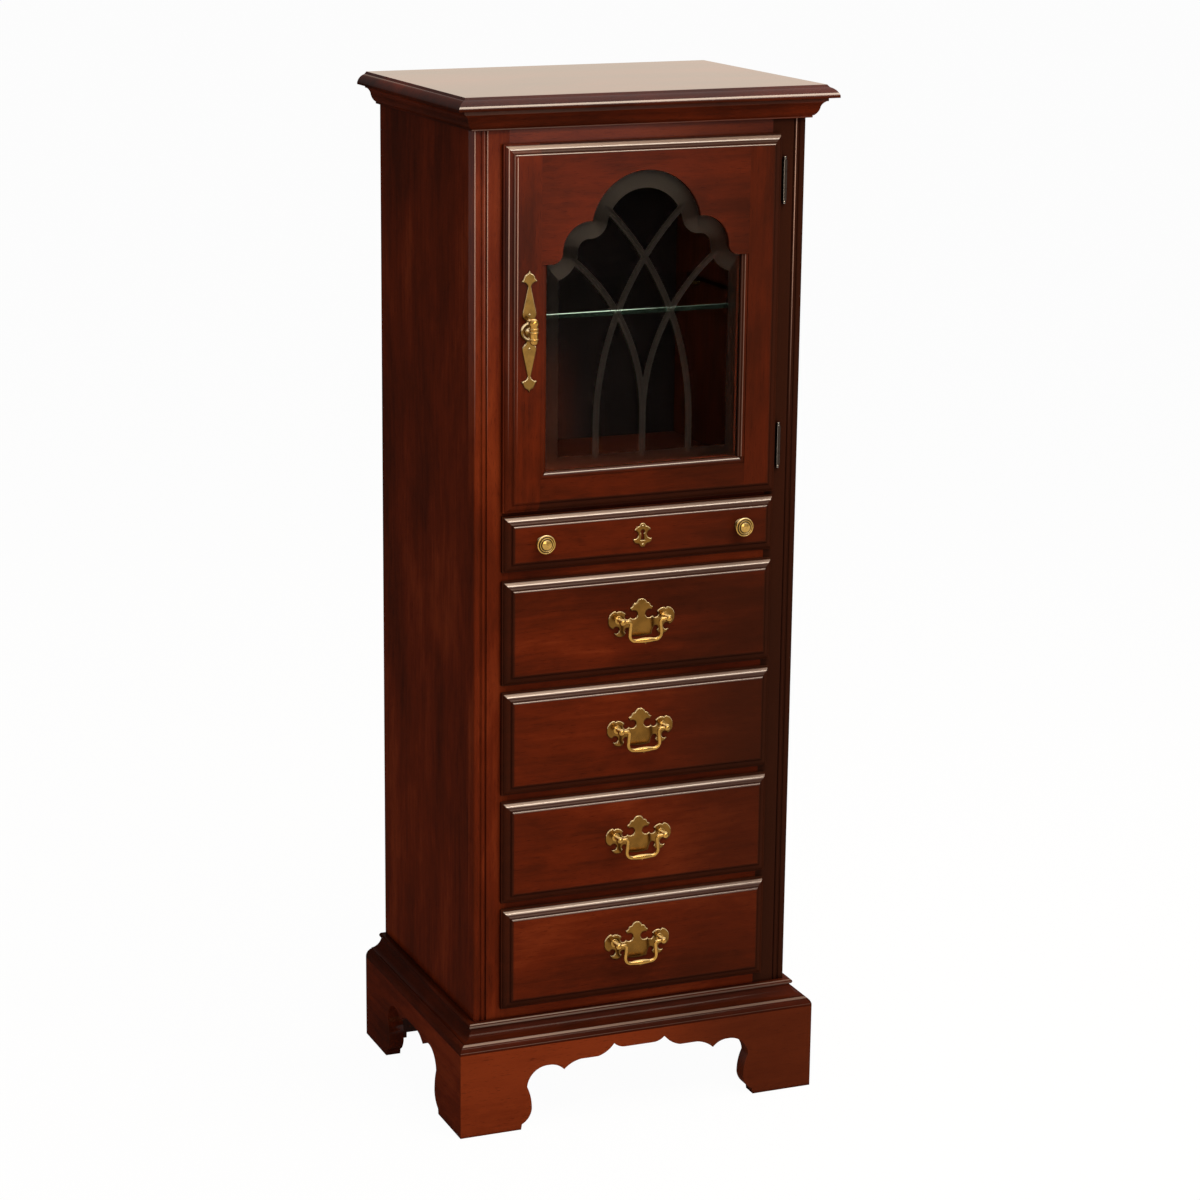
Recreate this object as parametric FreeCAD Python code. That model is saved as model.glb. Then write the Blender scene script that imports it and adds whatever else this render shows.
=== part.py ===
import FreeCAD, Part
import math
import os

V = FreeCAD.Vector

# A tall narrow chest: a glazed cupboard over one shallow and four deep drawers.
# Millimetres, +Z up, front towards -Y. While pieces are made, y = 0 is the front of the face frame.
# The finished pieces are moved so that the origin lies on the floor under the middle of the whole box.

# Case
TOTAL_HEIGHT = 1300.0
CASE_WIDTH = 431.0
CASE_DEPTH = 340.0
SIDE_THICKNESS = 19.0
FRAME_THICKNESS = 20.0
STILE_WIDTH = 44.0
BACK_THICKNESS = 6.0
BACK_REBATE = 9.5
FLOOR_THICKNESS = 16.0
BOTTOM_THICKNESS = 12.0
CLEAT = 18.0

# Reeded outer edge of the stiles, from the corner inwards
CORNER_BEAD = 7.9
CORNER_ROUND = 2.4
CORNER_ROUND_SAG = 0.7
SMALL_REED = 5.4
REED_QUIRK = 1.5
REED_DEPTH = 2.0
REED_SHOULDER_SAG = 0.5

# Top board: thumb-moulded edge on the front and both sides
TOP_THICKNESS = 15.5
TOP_FLAT_OUT = 18.0
TOP_CHAMFER = 2.6
TOP_CHAMFER_DROP = 3.0
TOP_NOSE_OUT = 30.4
TOP_NOSE_LIP = 2.6
TOP_THUMB_SAG = 1.8

# Cornice under the top board
CORNICE_HEIGHT = 25.0
CORNICE_OUT = 20.0
CORNICE_FILLET = 4.5
CORNICE_LEDGE = 1.3
CORNICE_WAIST_OUT = 12.8
CORNICE_WAIST_DROP = 11.5
CORNICE_UPPER_SAG = 0.9
CORNICE_LOWER_SAG = 1.2
CORNICE_TOE_OUT = 7.0
CORNICE_TOE = 2.8
CORNICE_TOE_LEDGE = 1.2

# Base moulding
BASE_HEIGHT = 111.0
BASE_MOULD_HEIGHT = 32.0
BASE_OUT = 28.4
BASE_BEAD = 6.0
BASE_BEAD_OUT = 6.2
BASE_NECK = 1.5
BASE_COVE_OUT = 19.5
BASE_COVE_DROP = 19.5
BASE_COVE_SAG = 2.6
BASE_LEDGE = 1.0
BASE_FACE = 1.6
BASE_OVOLO_SAG = 2.0

# Aprons with bracket feet: distances along the board from its end, heights from the floor
APRON_THICKNESS = 20.0
FOOT_WIDTH = 82.0
FOOT_TOE = 7.0
FOOT_TOE_SPLAY = 1.0
FOOT_LOBE = 96.5
FOOT_LOBE_HEIGHT = 26.0
FOOT_LOBE_SAG = 3.0
FOOT_WAIST = 90.0
FOOT_WAIST_HEIGHT = 57.0
FOOT_WAIST_SAG = 1.8
CREST = 119.5
CREST_HEIGHT = 82.5
CREST_SAG = 8.0
CUSP_SHARE = 0.48
CUSP_HEIGHT = 73.5
CUSP_SAG = 2.6
FLAT_HEIGHT = 84.5
FLAT_SAG = 2.0
SIDE_FLAT_HALF = 20.0
FRONT_FLAT_HALF = 81.0
ORNAMENT_HALF = 57.0
ORNAMENT_TIP = 35.0
ORNAMENT_TIP_HEIGHT = 99.0
ORNAMENT_TIP_SAG = 2.4
ORNAMENT_SHOULDER = 20.0
ORNAMENT_SHOULDER_SAG = 1.6
ORNAMENT_HEIGHT = 92.5
BACK_FOOT_WIDTH = 62.0
BACK_FOOT_THICKNESS = 16.0
BLOCK = 24.0
BLOCK_LIFT = 3.0

# Front openings, from the bottom up
BOTTOM_REVEAL = 14.0
DRAWER_COUNT = 4
DRAWER_HEIGHT = 132.0
DRAWER_GAP = 9.2
SHALLOW_GAP = 11.0
SHALLOW_HEIGHT = 70.0
DOOR_GAP = 4.5
TOP_REVEAL = 17.0

# Lipped fronts: overlap on the frame, fit in the opening, moulded edge from the rim inwards
LIP_OVERLAP = 9.5
CORE_SIDE_FIT = 1.5
CORE_HEIGHT_FIT = 1.0
FRONT_RISE = 13.5
CORE_DEPTH = 6.5
DRAWER_LIP_FIT = 0.5
RIM = 4.5
RIM_FILLET = 2.0
RIM_QUIRK = 0.8
OVOLO = 7.5
OVOLO_RISE = 5.0
OVOLO_SAG = 1.3
EDGE_STEP = 1.0
EDGE_STEP_RISE = 0.6
INNER_OVOLO = 3.0
INNER_OVOLO_SAG = 0.6

# Drawer boxes and what they run on
DRAWER_END_GAP = 28.0
DRAWER_SIDE = 12.0
DRAWER_BACK = 12.0
DRAWER_HEADROOM = 12.0
RUN_FIT = 0.3
PANEL = 5.0
PANEL_LIFT = 9.0
PANEL_GROOVE = 5.0
PANEL_FIT = 0.2
TAIL_LENGTH = 9.0
TAIL_PITCH = 30.0
TAIL_ROOT = 15.0
TAIL_FLARE = 1.6
TAIL_MARGIN = 4.0
RUNNER_DEPTH = 18.0
RUNNER_REACH = 16.0
GUIDE_HEIGHT = 15.0

# Door frame and glass
DOOR_STILE = 45.5
DOOR_SILL = 41.0
STICKING = 8.0
STICKING_DEPTH = 5.0
STICKING_QUIRK = 1.0
STICKING_SAG = 1.6
GLASS_SETBACK = 6.0
GLASS = 4.0
GLASS_OVERLAP = 6.0
GLASS_FIT = 0.5
SHOULDER_DROP = 143.5
ARCH_RADIUS = 72.2
ARCH_CENTRE_DROP = 108.2
LOBE_RADIUS = 36.0
LOBE_CENTRE = 72.5
FILLET_RADIUS = 13.5
BEVEL = 22.0
SIDE_BEVEL = 16.0
BEVEL_DEPTH = 1.6
STOP = 6.0
BUTTON_RADIUS = 5.0
BUTTON = 2.0
BUTTON_ANGLES = (35, 90, 145)

# Engraved tracery on the pane
GROOVE_START = 10.0
GROOVE_WIDTH = 8.5
GROOVE_DEPTH = 1.1
OUTER_STEM = 61.5
OUTER_STEM_RISE = 50.0
OUTER_CURVE = 370.0
OUTER_CURVE_END = 318.0
STEM_RISE = 60.0
INNER_CURVE = 250.0
INNER_CURVE_END = 256.0

# Hinges
HINGE_LENGTH = 49.0
HINGE_INSET = 57.5
HINGE_LEAF = 1.2
HINGE_LEAF_FIT = 0.3
BARREL_RADIUS = 3.0
BARREL_GAP = 2.5
BARREL_LIFT = 0.6
BARREL_MIDDLE = 20.0
KNUCKLE_FIT = 0.3
PIN_RADIUS = 1.5
PIN_FIT = 0.05
TIP_COLLAR = 2.4
TIP_NECK = 1.0
TIP_RADIUS = 2.3
LEAF_RETURN = 16.0

# Cupboard fittings
SHELF = 6.0
SHELF_RISE = 214.4
SHELF_FRONT_GAP = 30.0
SHELF_BACK_GAP = 34.0
SHELF_SIDE_FIT = 1.0
SHELF_PIN_RADIUS = 3.0
SHELF_PIN_REACH = 10.0
SHELF_PIN_INSET = 40.0
CATCH_WIDTH = 40.0
CATCH_HEIGHT = 12.0
CATCH_INSET = 71.5
CATCH_FIT = 0.4
STRIKE = 1.0
STRIKE_INSET = 3.0

# Door pull
PULL_PLATE = 1.6
PULL_HALF_HEIGHT = 73.5
SPEAR_NIB = 3.8
SPEAR_NIB_HALF = 1.9
SPEAR_NIB_SAG = 0.4
SPEAR_DOME = 8.2
SPEAR_DOME_HALF = 6.6
SPEAR_DOME_SAG = 0.9
SPEAR_HALF = 10.2
SPEAR_LENGTH = 13.4
SPEAR_FLARE_SAG = 0.6
SPEAR_NECK_LENGTH = 6.0
SPEAR_NECK_SAG = 1.9
NECK_HALF = 1.6
BLADE_HALF = 8.2
BLADE_FOOT = 24.0
BLADE_FOOT_SAG = 2.2
BLADE_END = 13.6
BLADE_END_HALF = 3.6
ROSETTE_RADIUS = 11.2
ROSETTE_RIM = 2.8
ROSETTE_DISH = 0.5
ROSETTE_BOSS = 4.8
ROSETTE_DOME = 2.4
DROP_PIVOT = 12.0
DROP_STANDOFF = 14.0
DROP_RADIUS = 5.8
DROP_WAIST = 4.8
DROP_RING = 2.4
DROP_RINGS = (6.9, 11.1, 19.4)
DROP_LENGTH = 26.4
DROP_SWING = (-10, 70)
DROP_PIN_RADIUS = 1.2
DROP_PIN_HALF = 5.0
TONGUE_HALF = 1.5
TONGUE_RADIUS = 2.0
TONGUE_FIT = 0.25

# Batwing pulls with bails
POST_HALF = 31.0
POST_RISE = 21.8
PLATE_RAISE = 7.5
PLATE_MIDDLE = 22.75
POST_STANDOFF = 12.9
POST_BALL = 4.4
POST_COLLAR = 5.2
POST_COLLAR_HEIGHT = 2.0
POST_STEM = 2.8
SHANK_RADIUS = 2.2
SHANK_FIT = 0.1
SHANK_TAIL = 6.0
NUT_RADIUS = 4.6
NUT = 3.0
BAIL_WIRE = 2.2
BAIL_FIT = 0.08
BAIL_END_FIT = 0.6
BAIL_SOCKET = 1.0
BAIL_DROP = 25.2
BAIL_NECK_HALF = 19.5
BAIL_FOOT_HALF = 22.0
BAIL_NECK_ROUND = 3.5
BAIL_FOOT_ROUND = 8.0
BAIL_SWELL = 3.2
BAIL_SWELL_HALF = 12.0
BAIL_NUB = 1.1

# Knobs and keyhole plate of the shallow drawer
KNOB_HALF_SPACING = 132.3
KNOB_RAISE = 1.5
KNOB_RADIUS = 11.8
KNOB_LENGTH = 17.6
KNOB_FLANGE = 7.8
KNOB_FLANGE_HEIGHT = 1.6
KNOB_STEM = 5.0
KNOB_STEM_START = 3.8
KNOB_STEM_END = 6.2
KNOB_BACK_SAG = 1.2
KNOB_EDGE = 1.4
KNOB_DOME = 4.0
KNOB_RINGS = 2
KNOB_RING = 2.0
KNOB_RING_RISE = 0.8
KNOB_RING_STEP = 1.0
KNOB_QUIRK = 0.5
ESCUTCHEON = 1.6

# Lengths below this count as nothing, and how far cutters reach past what they cut
TOUCH = 1e-6
SPARE = 1.0

# Planes and levels that follow from the sizes above
half = CASE_WIDTH / 2
back = CASE_DEPTH
inner_half = half - SIDE_THICKNESS
panel_front = back - BACK_THICKNESS
case_top = TOTAL_HEIGHT - TOP_THICKNESS
cornice_bottom = case_top - CORNICE_HEIGHT
base_top = BASE_HEIGHT + BASE_MOULD_HEIGHT
opening_half = half - STILE_WIDTH
lip_half = opening_half + LIP_OVERLAP
core_half = opening_half - CORE_SIDE_FIT
deep_bottoms = [base_top + BOTTOM_REVEAL + i * (DRAWER_HEIGHT + DRAWER_GAP) for i in range(DRAWER_COUNT)]
shallow_bottom = deep_bottoms[-1] + DRAWER_HEIGHT + SHALLOW_GAP
door_bottom = shallow_bottom + SHALLOW_HEIGHT + DOOR_GAP
door_top = cornice_bottom - TOP_REVEAL
cupboard_floor = door_bottom + LIP_OVERLAP
door_lip_fit = HINGE_LEAF + HINGE_LEAF_FIT
door_face = -door_lip_fit - FRONT_RISE
door_back = -door_lip_fit + CORE_DEPTH
drawer_face = -DRAWER_LIP_FIT - FRONT_RISE
drawer_inner = -DRAWER_LIP_FIT + CORE_DEPTH
drawer_end = panel_front - DRAWER_END_GAP
shelf_front = FRAME_THICKNESS + SHELF_FRONT_GAP
shelf_back = panel_front - SHELF_BACK_GAP
front_reach = max(
    FRONT_RISE + door_lip_fit + PULL_PLATE + DROP_STANDOFF + DROP_RADIUS,
    FRONT_RISE + DRAWER_LIP_FIT + PULL_PLATE + POST_STANDOFF + POST_BALL,
    FRONT_RISE + DRAWER_LIP_FIT + KNOB_LENGTH,
    TOP_NOSE_OUT,
    BASE_OUT,
)
origin_y = (back - front_reach) / 2

AXES = {
    "xy": lambda u, v, w: V(u, v, w),
    "xz": lambda u, v, w: V(u, w, v),
    "yz": lambda u, v, w: V(w, u, v),
}


# Outlines: a list of points, where a point with four numbers ends an arc through its last two

def bow(start, end, sag):
    """End of an arc that bulges by sag to the left of the way from start to end."""
    du = end[0] - start[0]
    dv = end[1] - start[1]
    length = math.hypot(du, dv)
    mid_u = (start[0] + end[0]) / 2 - dv / length * sag
    mid_v = (start[1] + end[1]) / 2 + du / length * sag
    return (end[0], end[1], mid_u, mid_v)


def cap(start, top):
    """End of an arc from start to (0, top) whose centre lies on u = 0."""
    centre = (top ** 2 - start[1] ** 2 - start[0] ** 2) / (2 * (top - start[1]))
    radius = top - centre
    middle = math.atan2(start[0], start[1] - centre) / 2
    return (0, top, radius * math.sin(middle), centre + radius * math.cos(middle))


def mapped(legs, move):
    """Outline with every point and arc midpoint passed through move."""
    out = []
    for leg in legs:
        point = move(leg[0], leg[1])
        if len(leg) == 4:
            point = point + move(leg[2], leg[3])
        out.append(point)
    return out


def reverse(legs):
    """The same outline walked the other way."""
    out = [legs[-1][:2]]
    for i in range(len(legs) - 1, 0, -1):
        out.append(legs[i - 1][:2] + legs[i][2:])
    return out


def symmetric(half_legs):
    """Closed outline from a half on u >= 0 that starts and ends on u = 0."""
    other = mapped(half_legs, lambda u, v: (-u, v))
    return half_legs + reverse(other)[1:]


def wire(plane, legs, w):
    at = AXES[plane]
    edges = []
    for here, leg in zip(legs, legs[1:]):
        start = at(here[0], here[1], w)
        end = at(leg[0], leg[1], w)
        if start.distanceToPoint(end) < TOUCH:
            continue
        if len(leg) == 4:
            edges.append(Part.Arc(start, at(leg[2], leg[3], w), end).toShape())
        else:
            edges.append(Part.LineSegment(start, end).toShape())
    first = at(legs[0][0], legs[0][1], w)
    last = at(legs[-1][0], legs[-1][1], w)
    if first.distanceToPoint(last) > TOUCH:
        edges.append(Part.LineSegment(last, first).toShape())
    return Part.Wire(edges)


def prism(plane, legs, w0, w1):
    """Solid with the outline in one plane, from w0 to w1 across it."""
    at = AXES[plane]
    return Part.Face(wire(plane, legs, w0)).extrude(at(0, 0, w1 - w0))


def box(x0, x1, y0, y1, z0, z1):
    return Part.makeBox(x1 - x0, y1 - y0, z1 - z0, V(x0, y0, z0))


def rod(radius, start, end):
    way = end - start
    return Part.makeCylinder(radius, way.Length, start, way)


def turned(legs, centre, axis):
    """Solid of revolution from (radius, height) points, heights along axis from centre."""
    solid = Part.Face(wire("xz", legs, 0)).revolve(V(0, 0, 0), V(0, 0, 1), 360)
    solid.Placement = FreeCAD.Placement(centre, FreeCAD.Rotation(V(0, 0, 1), axis))
    return solid


def mirror_x(shape):
    return shape.mirror(V(0, 0, 0), V(1, 0, 0))


def both_sides(shape):
    return [shape, mirror_x(shape)]


def group(solids):
    return Part.makeCompound(solids)


# Mouldings that run round the front and both sides with mitred corners

def mitred_lengths(profile):
    """Front, left and right lengths of a moulding given as (out, height) points."""
    reach = max(leg[0] for leg in profile) + SPARE
    long_run = half + reach
    front = prism("yz", mapped(profile, lambda o, z: (-o, z)), -long_run, long_run)
    front = front.common(prism("xy", [
        (-half, 0), (half, 0), (half + reach, -reach), (-half - reach, -reach)], 0, TOTAL_HEIGHT))
    right = prism("xz", mapped(profile, lambda o, z: (half + o, z)), -reach, back)
    right = right.common(prism("xy", [
        (half, 0), (half + reach, -reach), (half + reach, back), (half, back)], 0, TOTAL_HEIGHT))
    return [front] + both_sides(right)


def make_top_board():
    nose = (TOP_NOSE_OUT, case_top + TOP_NOSE_LIP)
    thumb = (TOP_FLAT_OUT + TOP_CHAMFER, TOTAL_HEIGHT - TOP_CHAMFER_DROP)
    edge = [
        (TOP_FLAT_OUT, TOTAL_HEIGHT),
        thumb,
        bow(thumb, nose, TOP_THUMB_SAG),
        (TOP_NOSE_OUT, case_top),
    ]
    across = mapped(edge, lambda o, z: (half + o, z))
    across = reverse(mapped(across, lambda x, z: (-x, z))) + across
    deep = mapped(edge, lambda o, z: (-o, z)) + [(back, case_top), (back, TOTAL_HEIGHT)]
    reach = half + TOP_NOSE_OUT
    return prism("xz", across, -TOP_NOSE_OUT, back).common(prism("yz", deep, -reach, reach))


def make_cornice():
    ledge = (CORNICE_OUT - CORNICE_LEDGE, case_top - CORNICE_FILLET)
    waist = (CORNICE_WAIST_OUT, case_top - CORNICE_WAIST_DROP)
    toe = (CORNICE_TOE_OUT, cornice_bottom + CORNICE_TOE)
    return mitred_lengths([
        (0, case_top),
        (CORNICE_OUT, case_top),
        (CORNICE_OUT, case_top - CORNICE_FILLET),
        ledge,
        bow(ledge, waist, -CORNICE_UPPER_SAG),
        bow(waist, toe, CORNICE_LOWER_SAG),
        (CORNICE_TOE_OUT - CORNICE_TOE_LEDGE, cornice_bottom + CORNICE_TOE),
        (CORNICE_TOE_OUT - CORNICE_TOE_LEDGE, cornice_bottom),
        (0, cornice_bottom),
    ])


def make_base_moulding():
    bead_foot = (BASE_BEAD_OUT, base_top - BASE_BEAD)
    neck = (BASE_BEAD_OUT, base_top - BASE_BEAD - BASE_NECK)
    cove_end = (BASE_COVE_OUT, base_top - BASE_COVE_DROP)
    ledge = (BASE_COVE_OUT + BASE_LEDGE, base_top - BASE_COVE_DROP - BASE_LEDGE)
    face_top = (BASE_OUT, BASE_HEIGHT + BASE_FACE)
    return mitred_lengths([
        (0, base_top),
        (BASE_BEAD_OUT, base_top),
        bow((BASE_BEAD_OUT, base_top), bead_foot, BASE_BEAD / 2),
        neck,
        bow(neck, cove_end, -BASE_COVE_SAG),
        (ledge[0], cove_end[1]),
        ledge,
        bow(ledge, face_top, BASE_OVOLO_SAG),
        (BASE_OUT, BASE_HEIGHT),
        (0, BASE_HEIGHT),
    ])


# Case

def make_stile():
    """Right stile of the face frame, with the reeds run on its outer edge."""
    bead_inner = half - CORNER_BEAD
    reed_outer = bead_inner - REED_QUIRK
    reed_inner = reed_outer - SMALL_REED
    field = reed_inner - REED_QUIRK
    section = [
        (opening_half, 0),
        (field, 0),
        (field, REED_DEPTH),
        (reed_inner, REED_DEPTH),
        bow((reed_inner, REED_DEPTH), (reed_outer, REED_DEPTH), -REED_DEPTH),
        (bead_inner, REED_DEPTH),
        bow((bead_inner, REED_DEPTH), (bead_inner + REED_DEPTH, 0), -REED_SHOULDER_SAG),
        (half - CORNER_ROUND, 0),
        bow((half - CORNER_ROUND, 0), (half, CORNER_ROUND), -CORNER_ROUND_SAG),
        (half, FRAME_THICKNESS),
        (opening_half, FRAME_THICKNESS),
    ]
    return prism("xy", section, BASE_HEIGHT, case_top)


def make_side_panel():
    """Right side panel, rebated for the back and drilled for the shelf pins."""
    panel = prism("xy", [
        (inner_half, FRAME_THICKNESS),
        (half, FRAME_THICKNESS),
        (half, back),
        (half - SIDE_THICKNESS + BACK_REBATE, back),
        (half - SIDE_THICKNESS + BACK_REBATE, panel_front),
        (inner_half, panel_front),
    ], BASE_HEIGHT, case_top)
    for pin in make_shelf_pins():
        panel = panel.cut(pin)
    return panel


def make_rail(bottom, top):
    return box(-opening_half, opening_half, 0, FRAME_THICKNESS, bottom, top)


def make_inner_board(bottom, top):
    return box(-inner_half, inner_half, FRAME_THICKNESS, panel_front, bottom, top)


def opening_of(lip_bottom, height):
    """Bottom and top of the opening in the frame behind a lipped front."""
    return lip_bottom + LIP_OVERLAP, lip_bottom + height - LIP_OVERLAP


def make_drawer_rails():
    tops = [opening_of(z, DRAWER_HEIGHT)[1] for z in deep_bottoms]
    bottoms = [opening_of(z, DRAWER_HEIGHT)[0] for z in deep_bottoms[1:]]
    bottoms.append(opening_of(shallow_bottom, SHALLOW_HEIGHT)[0])
    return [make_rail(low, high) for low, high in zip(tops, bottoms)]


def make_drawer_runners():
    """Runners under the drawer sides, with guides beside them."""
    solids = []
    levels = [opening_of(z, DRAWER_HEIGHT)[0] for z in deep_bottoms]
    levels.append(opening_of(shallow_bottom, SHALLOW_HEIGHT)[0])
    for z in levels:
        inner = core_half - RUNNER_REACH
        runner = box(inner, inner_half, FRAME_THICKNESS, panel_front, z - RUNNER_DEPTH, z)
        guide = box(opening_half, inner_half, FRAME_THICKNESS, panel_front, z, z + GUIDE_HEIGHT)
        solids += both_sides(runner) + both_sides(guide)
    return solids


def make_shelf_pins():
    """The two pins on the right, under the glass shelf."""
    z = cupboard_floor + SHELF_RISE - SHELF_PIN_RADIUS
    ends = (inner_half - SHELF_PIN_REACH, inner_half + SHELF_PIN_REACH)
    pins = []
    for y in (shelf_front + SHELF_PIN_INSET, shelf_back - SHELF_PIN_INSET):
        pins.append(rod(SHELF_PIN_RADIUS, V(ends[0], y, z), V(ends[1], y, z)))
    return pins


def make_glass_shelf():
    reach = inner_half - SHELF_SIDE_FIT
    low = cupboard_floor + SHELF_RISE
    return box(-reach, reach, shelf_front, shelf_back, low, low + SHELF)


# Base

def apron_edge(end, flat_half):
    """Half outline of an apron from its foot to the flat of its scrolled edge."""
    crest = (end - CREST, CREST_HEIGHT)
    span = crest[0] - flat_half
    cusp = (crest[0] - CUSP_SHARE * span, CUSP_HEIGHT)
    toe = (end - FOOT_WIDTH - FOOT_TOE_SPLAY, FOOT_TOE)
    lobe = (end - FOOT_LOBE, FOOT_LOBE_HEIGHT)
    waist = (end - FOOT_WAIST, FOOT_WAIST_HEIGHT)
    flat = (flat_half, FLAT_HEIGHT)
    return [
        (end, BASE_HEIGHT),
        (end, 0),
        (end - FOOT_WIDTH, 0),
        toe,
        bow(toe, lobe, FOOT_LOBE_SAG),
        bow(lobe, waist, FOOT_WAIST_SAG),
        bow(waist, crest, -CREST_SAG),
        bow(crest, cusp, -CUSP_SAG),
        bow(cusp, flat, -FLAT_SAG),
    ]


def make_front_apron():
    end = half + BASE_OUT
    start = (ORNAMENT_HALF, FLAT_HEIGHT)
    tip = (ORNAMENT_TIP, ORNAMENT_TIP_HEIGHT)
    shoulder = (ORNAMENT_SHOULDER, ORNAMENT_HEIGHT)
    edge = apron_edge(end, FRONT_FLAT_HALF)
    edge += [
        start,
        bow(start, tip, ORNAMENT_TIP_SAG),
        bow(tip, shoulder, ORNAMENT_SHOULDER_SAG),
        (0, ORNAMENT_HEIGHT),
    ]
    edge = [(0, BASE_HEIGHT)] + edge
    board = prism("xz", symmetric(edge), -BASE_OUT, -BASE_OUT + APRON_THICKNESS)
    inner = end - APRON_THICKNESS
    plan = [
        (-end, -BASE_OUT),
        (end, -BASE_OUT),
        (inner, -BASE_OUT + APRON_THICKNESS),
        (-inner, -BASE_OUT + APRON_THICKNESS),
    ]
    return board.common(prism("xy", plan, 0, BASE_HEIGHT))


def make_side_apron():
    """Right side apron, mitred to the front one."""
    outer = half + BASE_OUT
    inner = outer - APRON_THICKNESS
    middle = (back - BASE_OUT) / 2
    edge = apron_edge((back + BASE_OUT) / 2, SIDE_FLAT_HALF)
    edge = [(0, BASE_HEIGHT)] + edge + [(0, FLAT_HEIGHT)]
    board = prism("yz", mapped(symmetric(edge), lambda u, v: (u + middle, v)), inner, outer)
    plan = [
        (outer, -BASE_OUT),
        (outer, back),
        (inner, back),
        (inner, -BASE_OUT + APRON_THICKNESS),
    ]
    return board.common(prism("xy", plan, 0, BASE_HEIGHT))


def make_back_bracket():
    outer = half + BASE_OUT - APRON_THICKNESS
    return box(outer - BACK_FOOT_WIDTH, outer, back - BACK_FOOT_THICKNESS, back, 0, BASE_HEIGHT)


def make_glue_blocks():
    """The two right corner blocks behind the feet."""
    outer = half + BASE_OUT - APRON_THICKNESS
    front = -BASE_OUT + APRON_THICKNESS
    rear = back - BACK_FOOT_THICKNESS
    return [
        box(outer - BLOCK, outer, front, front + BLOCK, BLOCK_LIFT, BASE_HEIGHT),
        box(outer - BLOCK, outer, rear - BLOCK, rear, BLOCK_LIFT, BASE_HEIGHT),
    ]


# Lipped fronts with a moulded edge

def rim_profile():
    """Moulded edge as (distance in from the rim, rise from the lip's back)."""
    quirk = (RIM_FILLET, RIM + RIM_QUIRK)
    crown = (RIM_FILLET + OVOLO, RIM + RIM_QUIRK + OVOLO_RISE)
    step = (crown[0] + EDGE_STEP, crown[1] + EDGE_STEP_RISE)
    field = (step[0] + INNER_OVOLO, FRONT_RISE)
    return [
        (0, 0),
        (0, RIM),
        (RIM_FILLET, RIM),
        quirk,
        bow(quirk, crown, OVOLO_SAG),
        (crown[0], step[1]),
        step,
        bow(step, field, INNER_OVOLO_SAG),
    ]


def lipped_front(bottom, top, lip_fit):
    """Front whose lips lie on the frame and whose core fits the opening."""
    rim = rim_profile()
    low = mapped(rim, lambda e, h: (-lip_fit - h, bottom + e))
    high = mapped(rim, lambda e, h: (-lip_fit - h, top - e))
    left = mapped(rim, lambda e, h: (-lip_half + e, -lip_fit - h))
    right = mapped(rim, lambda e, h: (lip_half - e, -lip_fit - h))
    slab = prism("yz", low + reverse(high), -lip_half, lip_half)
    slab = slab.common(prism("xy", left + reverse(right), bottom, top))
    core = box(
        -core_half, core_half, -lip_fit, -lip_fit + CORE_DEPTH,
        bottom + LIP_OVERLAP + CORE_HEIGHT_FIT, top - LIP_OVERLAP - CORE_HEIGHT_FIT)
    return slab.fuse(core).removeSplitter()


# Drawers

def dovetails(bottom, height):
    """Tails of the right drawer side, where they enter the front."""
    count = max(1, int((height - 2 * TAIL_MARGIN) // TAIL_PITCH))
    tails = []
    for i in range(count):
        z = bottom + height / 2 + (i - (count - 1) / 2) * TAIL_PITCH
        root = TAIL_ROOT / 2
        tip = root + TAIL_FLARE
        tails.append(prism("yz", [
            (drawer_inner, z - root),
            (drawer_inner, z + root),
            (drawer_inner - TAIL_LENGTH, z + tip),
            (drawer_inner - TAIL_LENGTH, z - tip),
        ], core_half - DRAWER_SIDE, core_half))
    return tails


def make_drawer(lip_bottom, height):
    """Front and box of a drawer, with the box as separate boards."""
    low, high = opening_of(lip_bottom, height)
    bottom = low + RUN_FIT
    side_height = high - low - DRAWER_HEADROOM
    inner = core_half - DRAWER_SIDE
    groove = bottom + PANEL_LIFT
    section = [
        (inner, bottom),
        (core_half, bottom),
        (core_half, bottom + side_height),
        (inner, bottom + side_height),
        (inner, groove + PANEL + PANEL_FIT),
        (inner + PANEL_GROOVE, groove + PANEL + PANEL_FIT),
        (inner + PANEL_GROOVE, groove),
        (inner, groove),
    ]
    side = prism("xz", section, drawer_inner, drawer_end)
    tails = dovetails(bottom, side_height)
    side = side.multiFuse(tails).removeSplitter()
    panel_half = inner + PANEL_GROOVE - PANEL_FIT
    panel_start = drawer_inner - PANEL_GROOVE
    panel = box(-panel_half, panel_half, panel_start + PANEL_FIT, drawer_end, groove, groove + PANEL)
    rear = box(
        -inner, inner, drawer_end - DRAWER_BACK, drawer_end, groove + PANEL, bottom + side_height)
    front = lipped_front(lip_bottom, lip_bottom + height, DRAWER_LIP_FIT)
    slot_half = inner + PANEL_GROOVE
    slot = box(-slot_half, slot_half, panel_start, drawer_inner, groove, groove + PANEL + PANEL_FIT)
    sockets = tails + [mirror_x(tail) for tail in tails]
    front = front.cut(group([slot])).cut(group(sockets))
    return front, both_sides(side) + [rear, panel]


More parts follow.
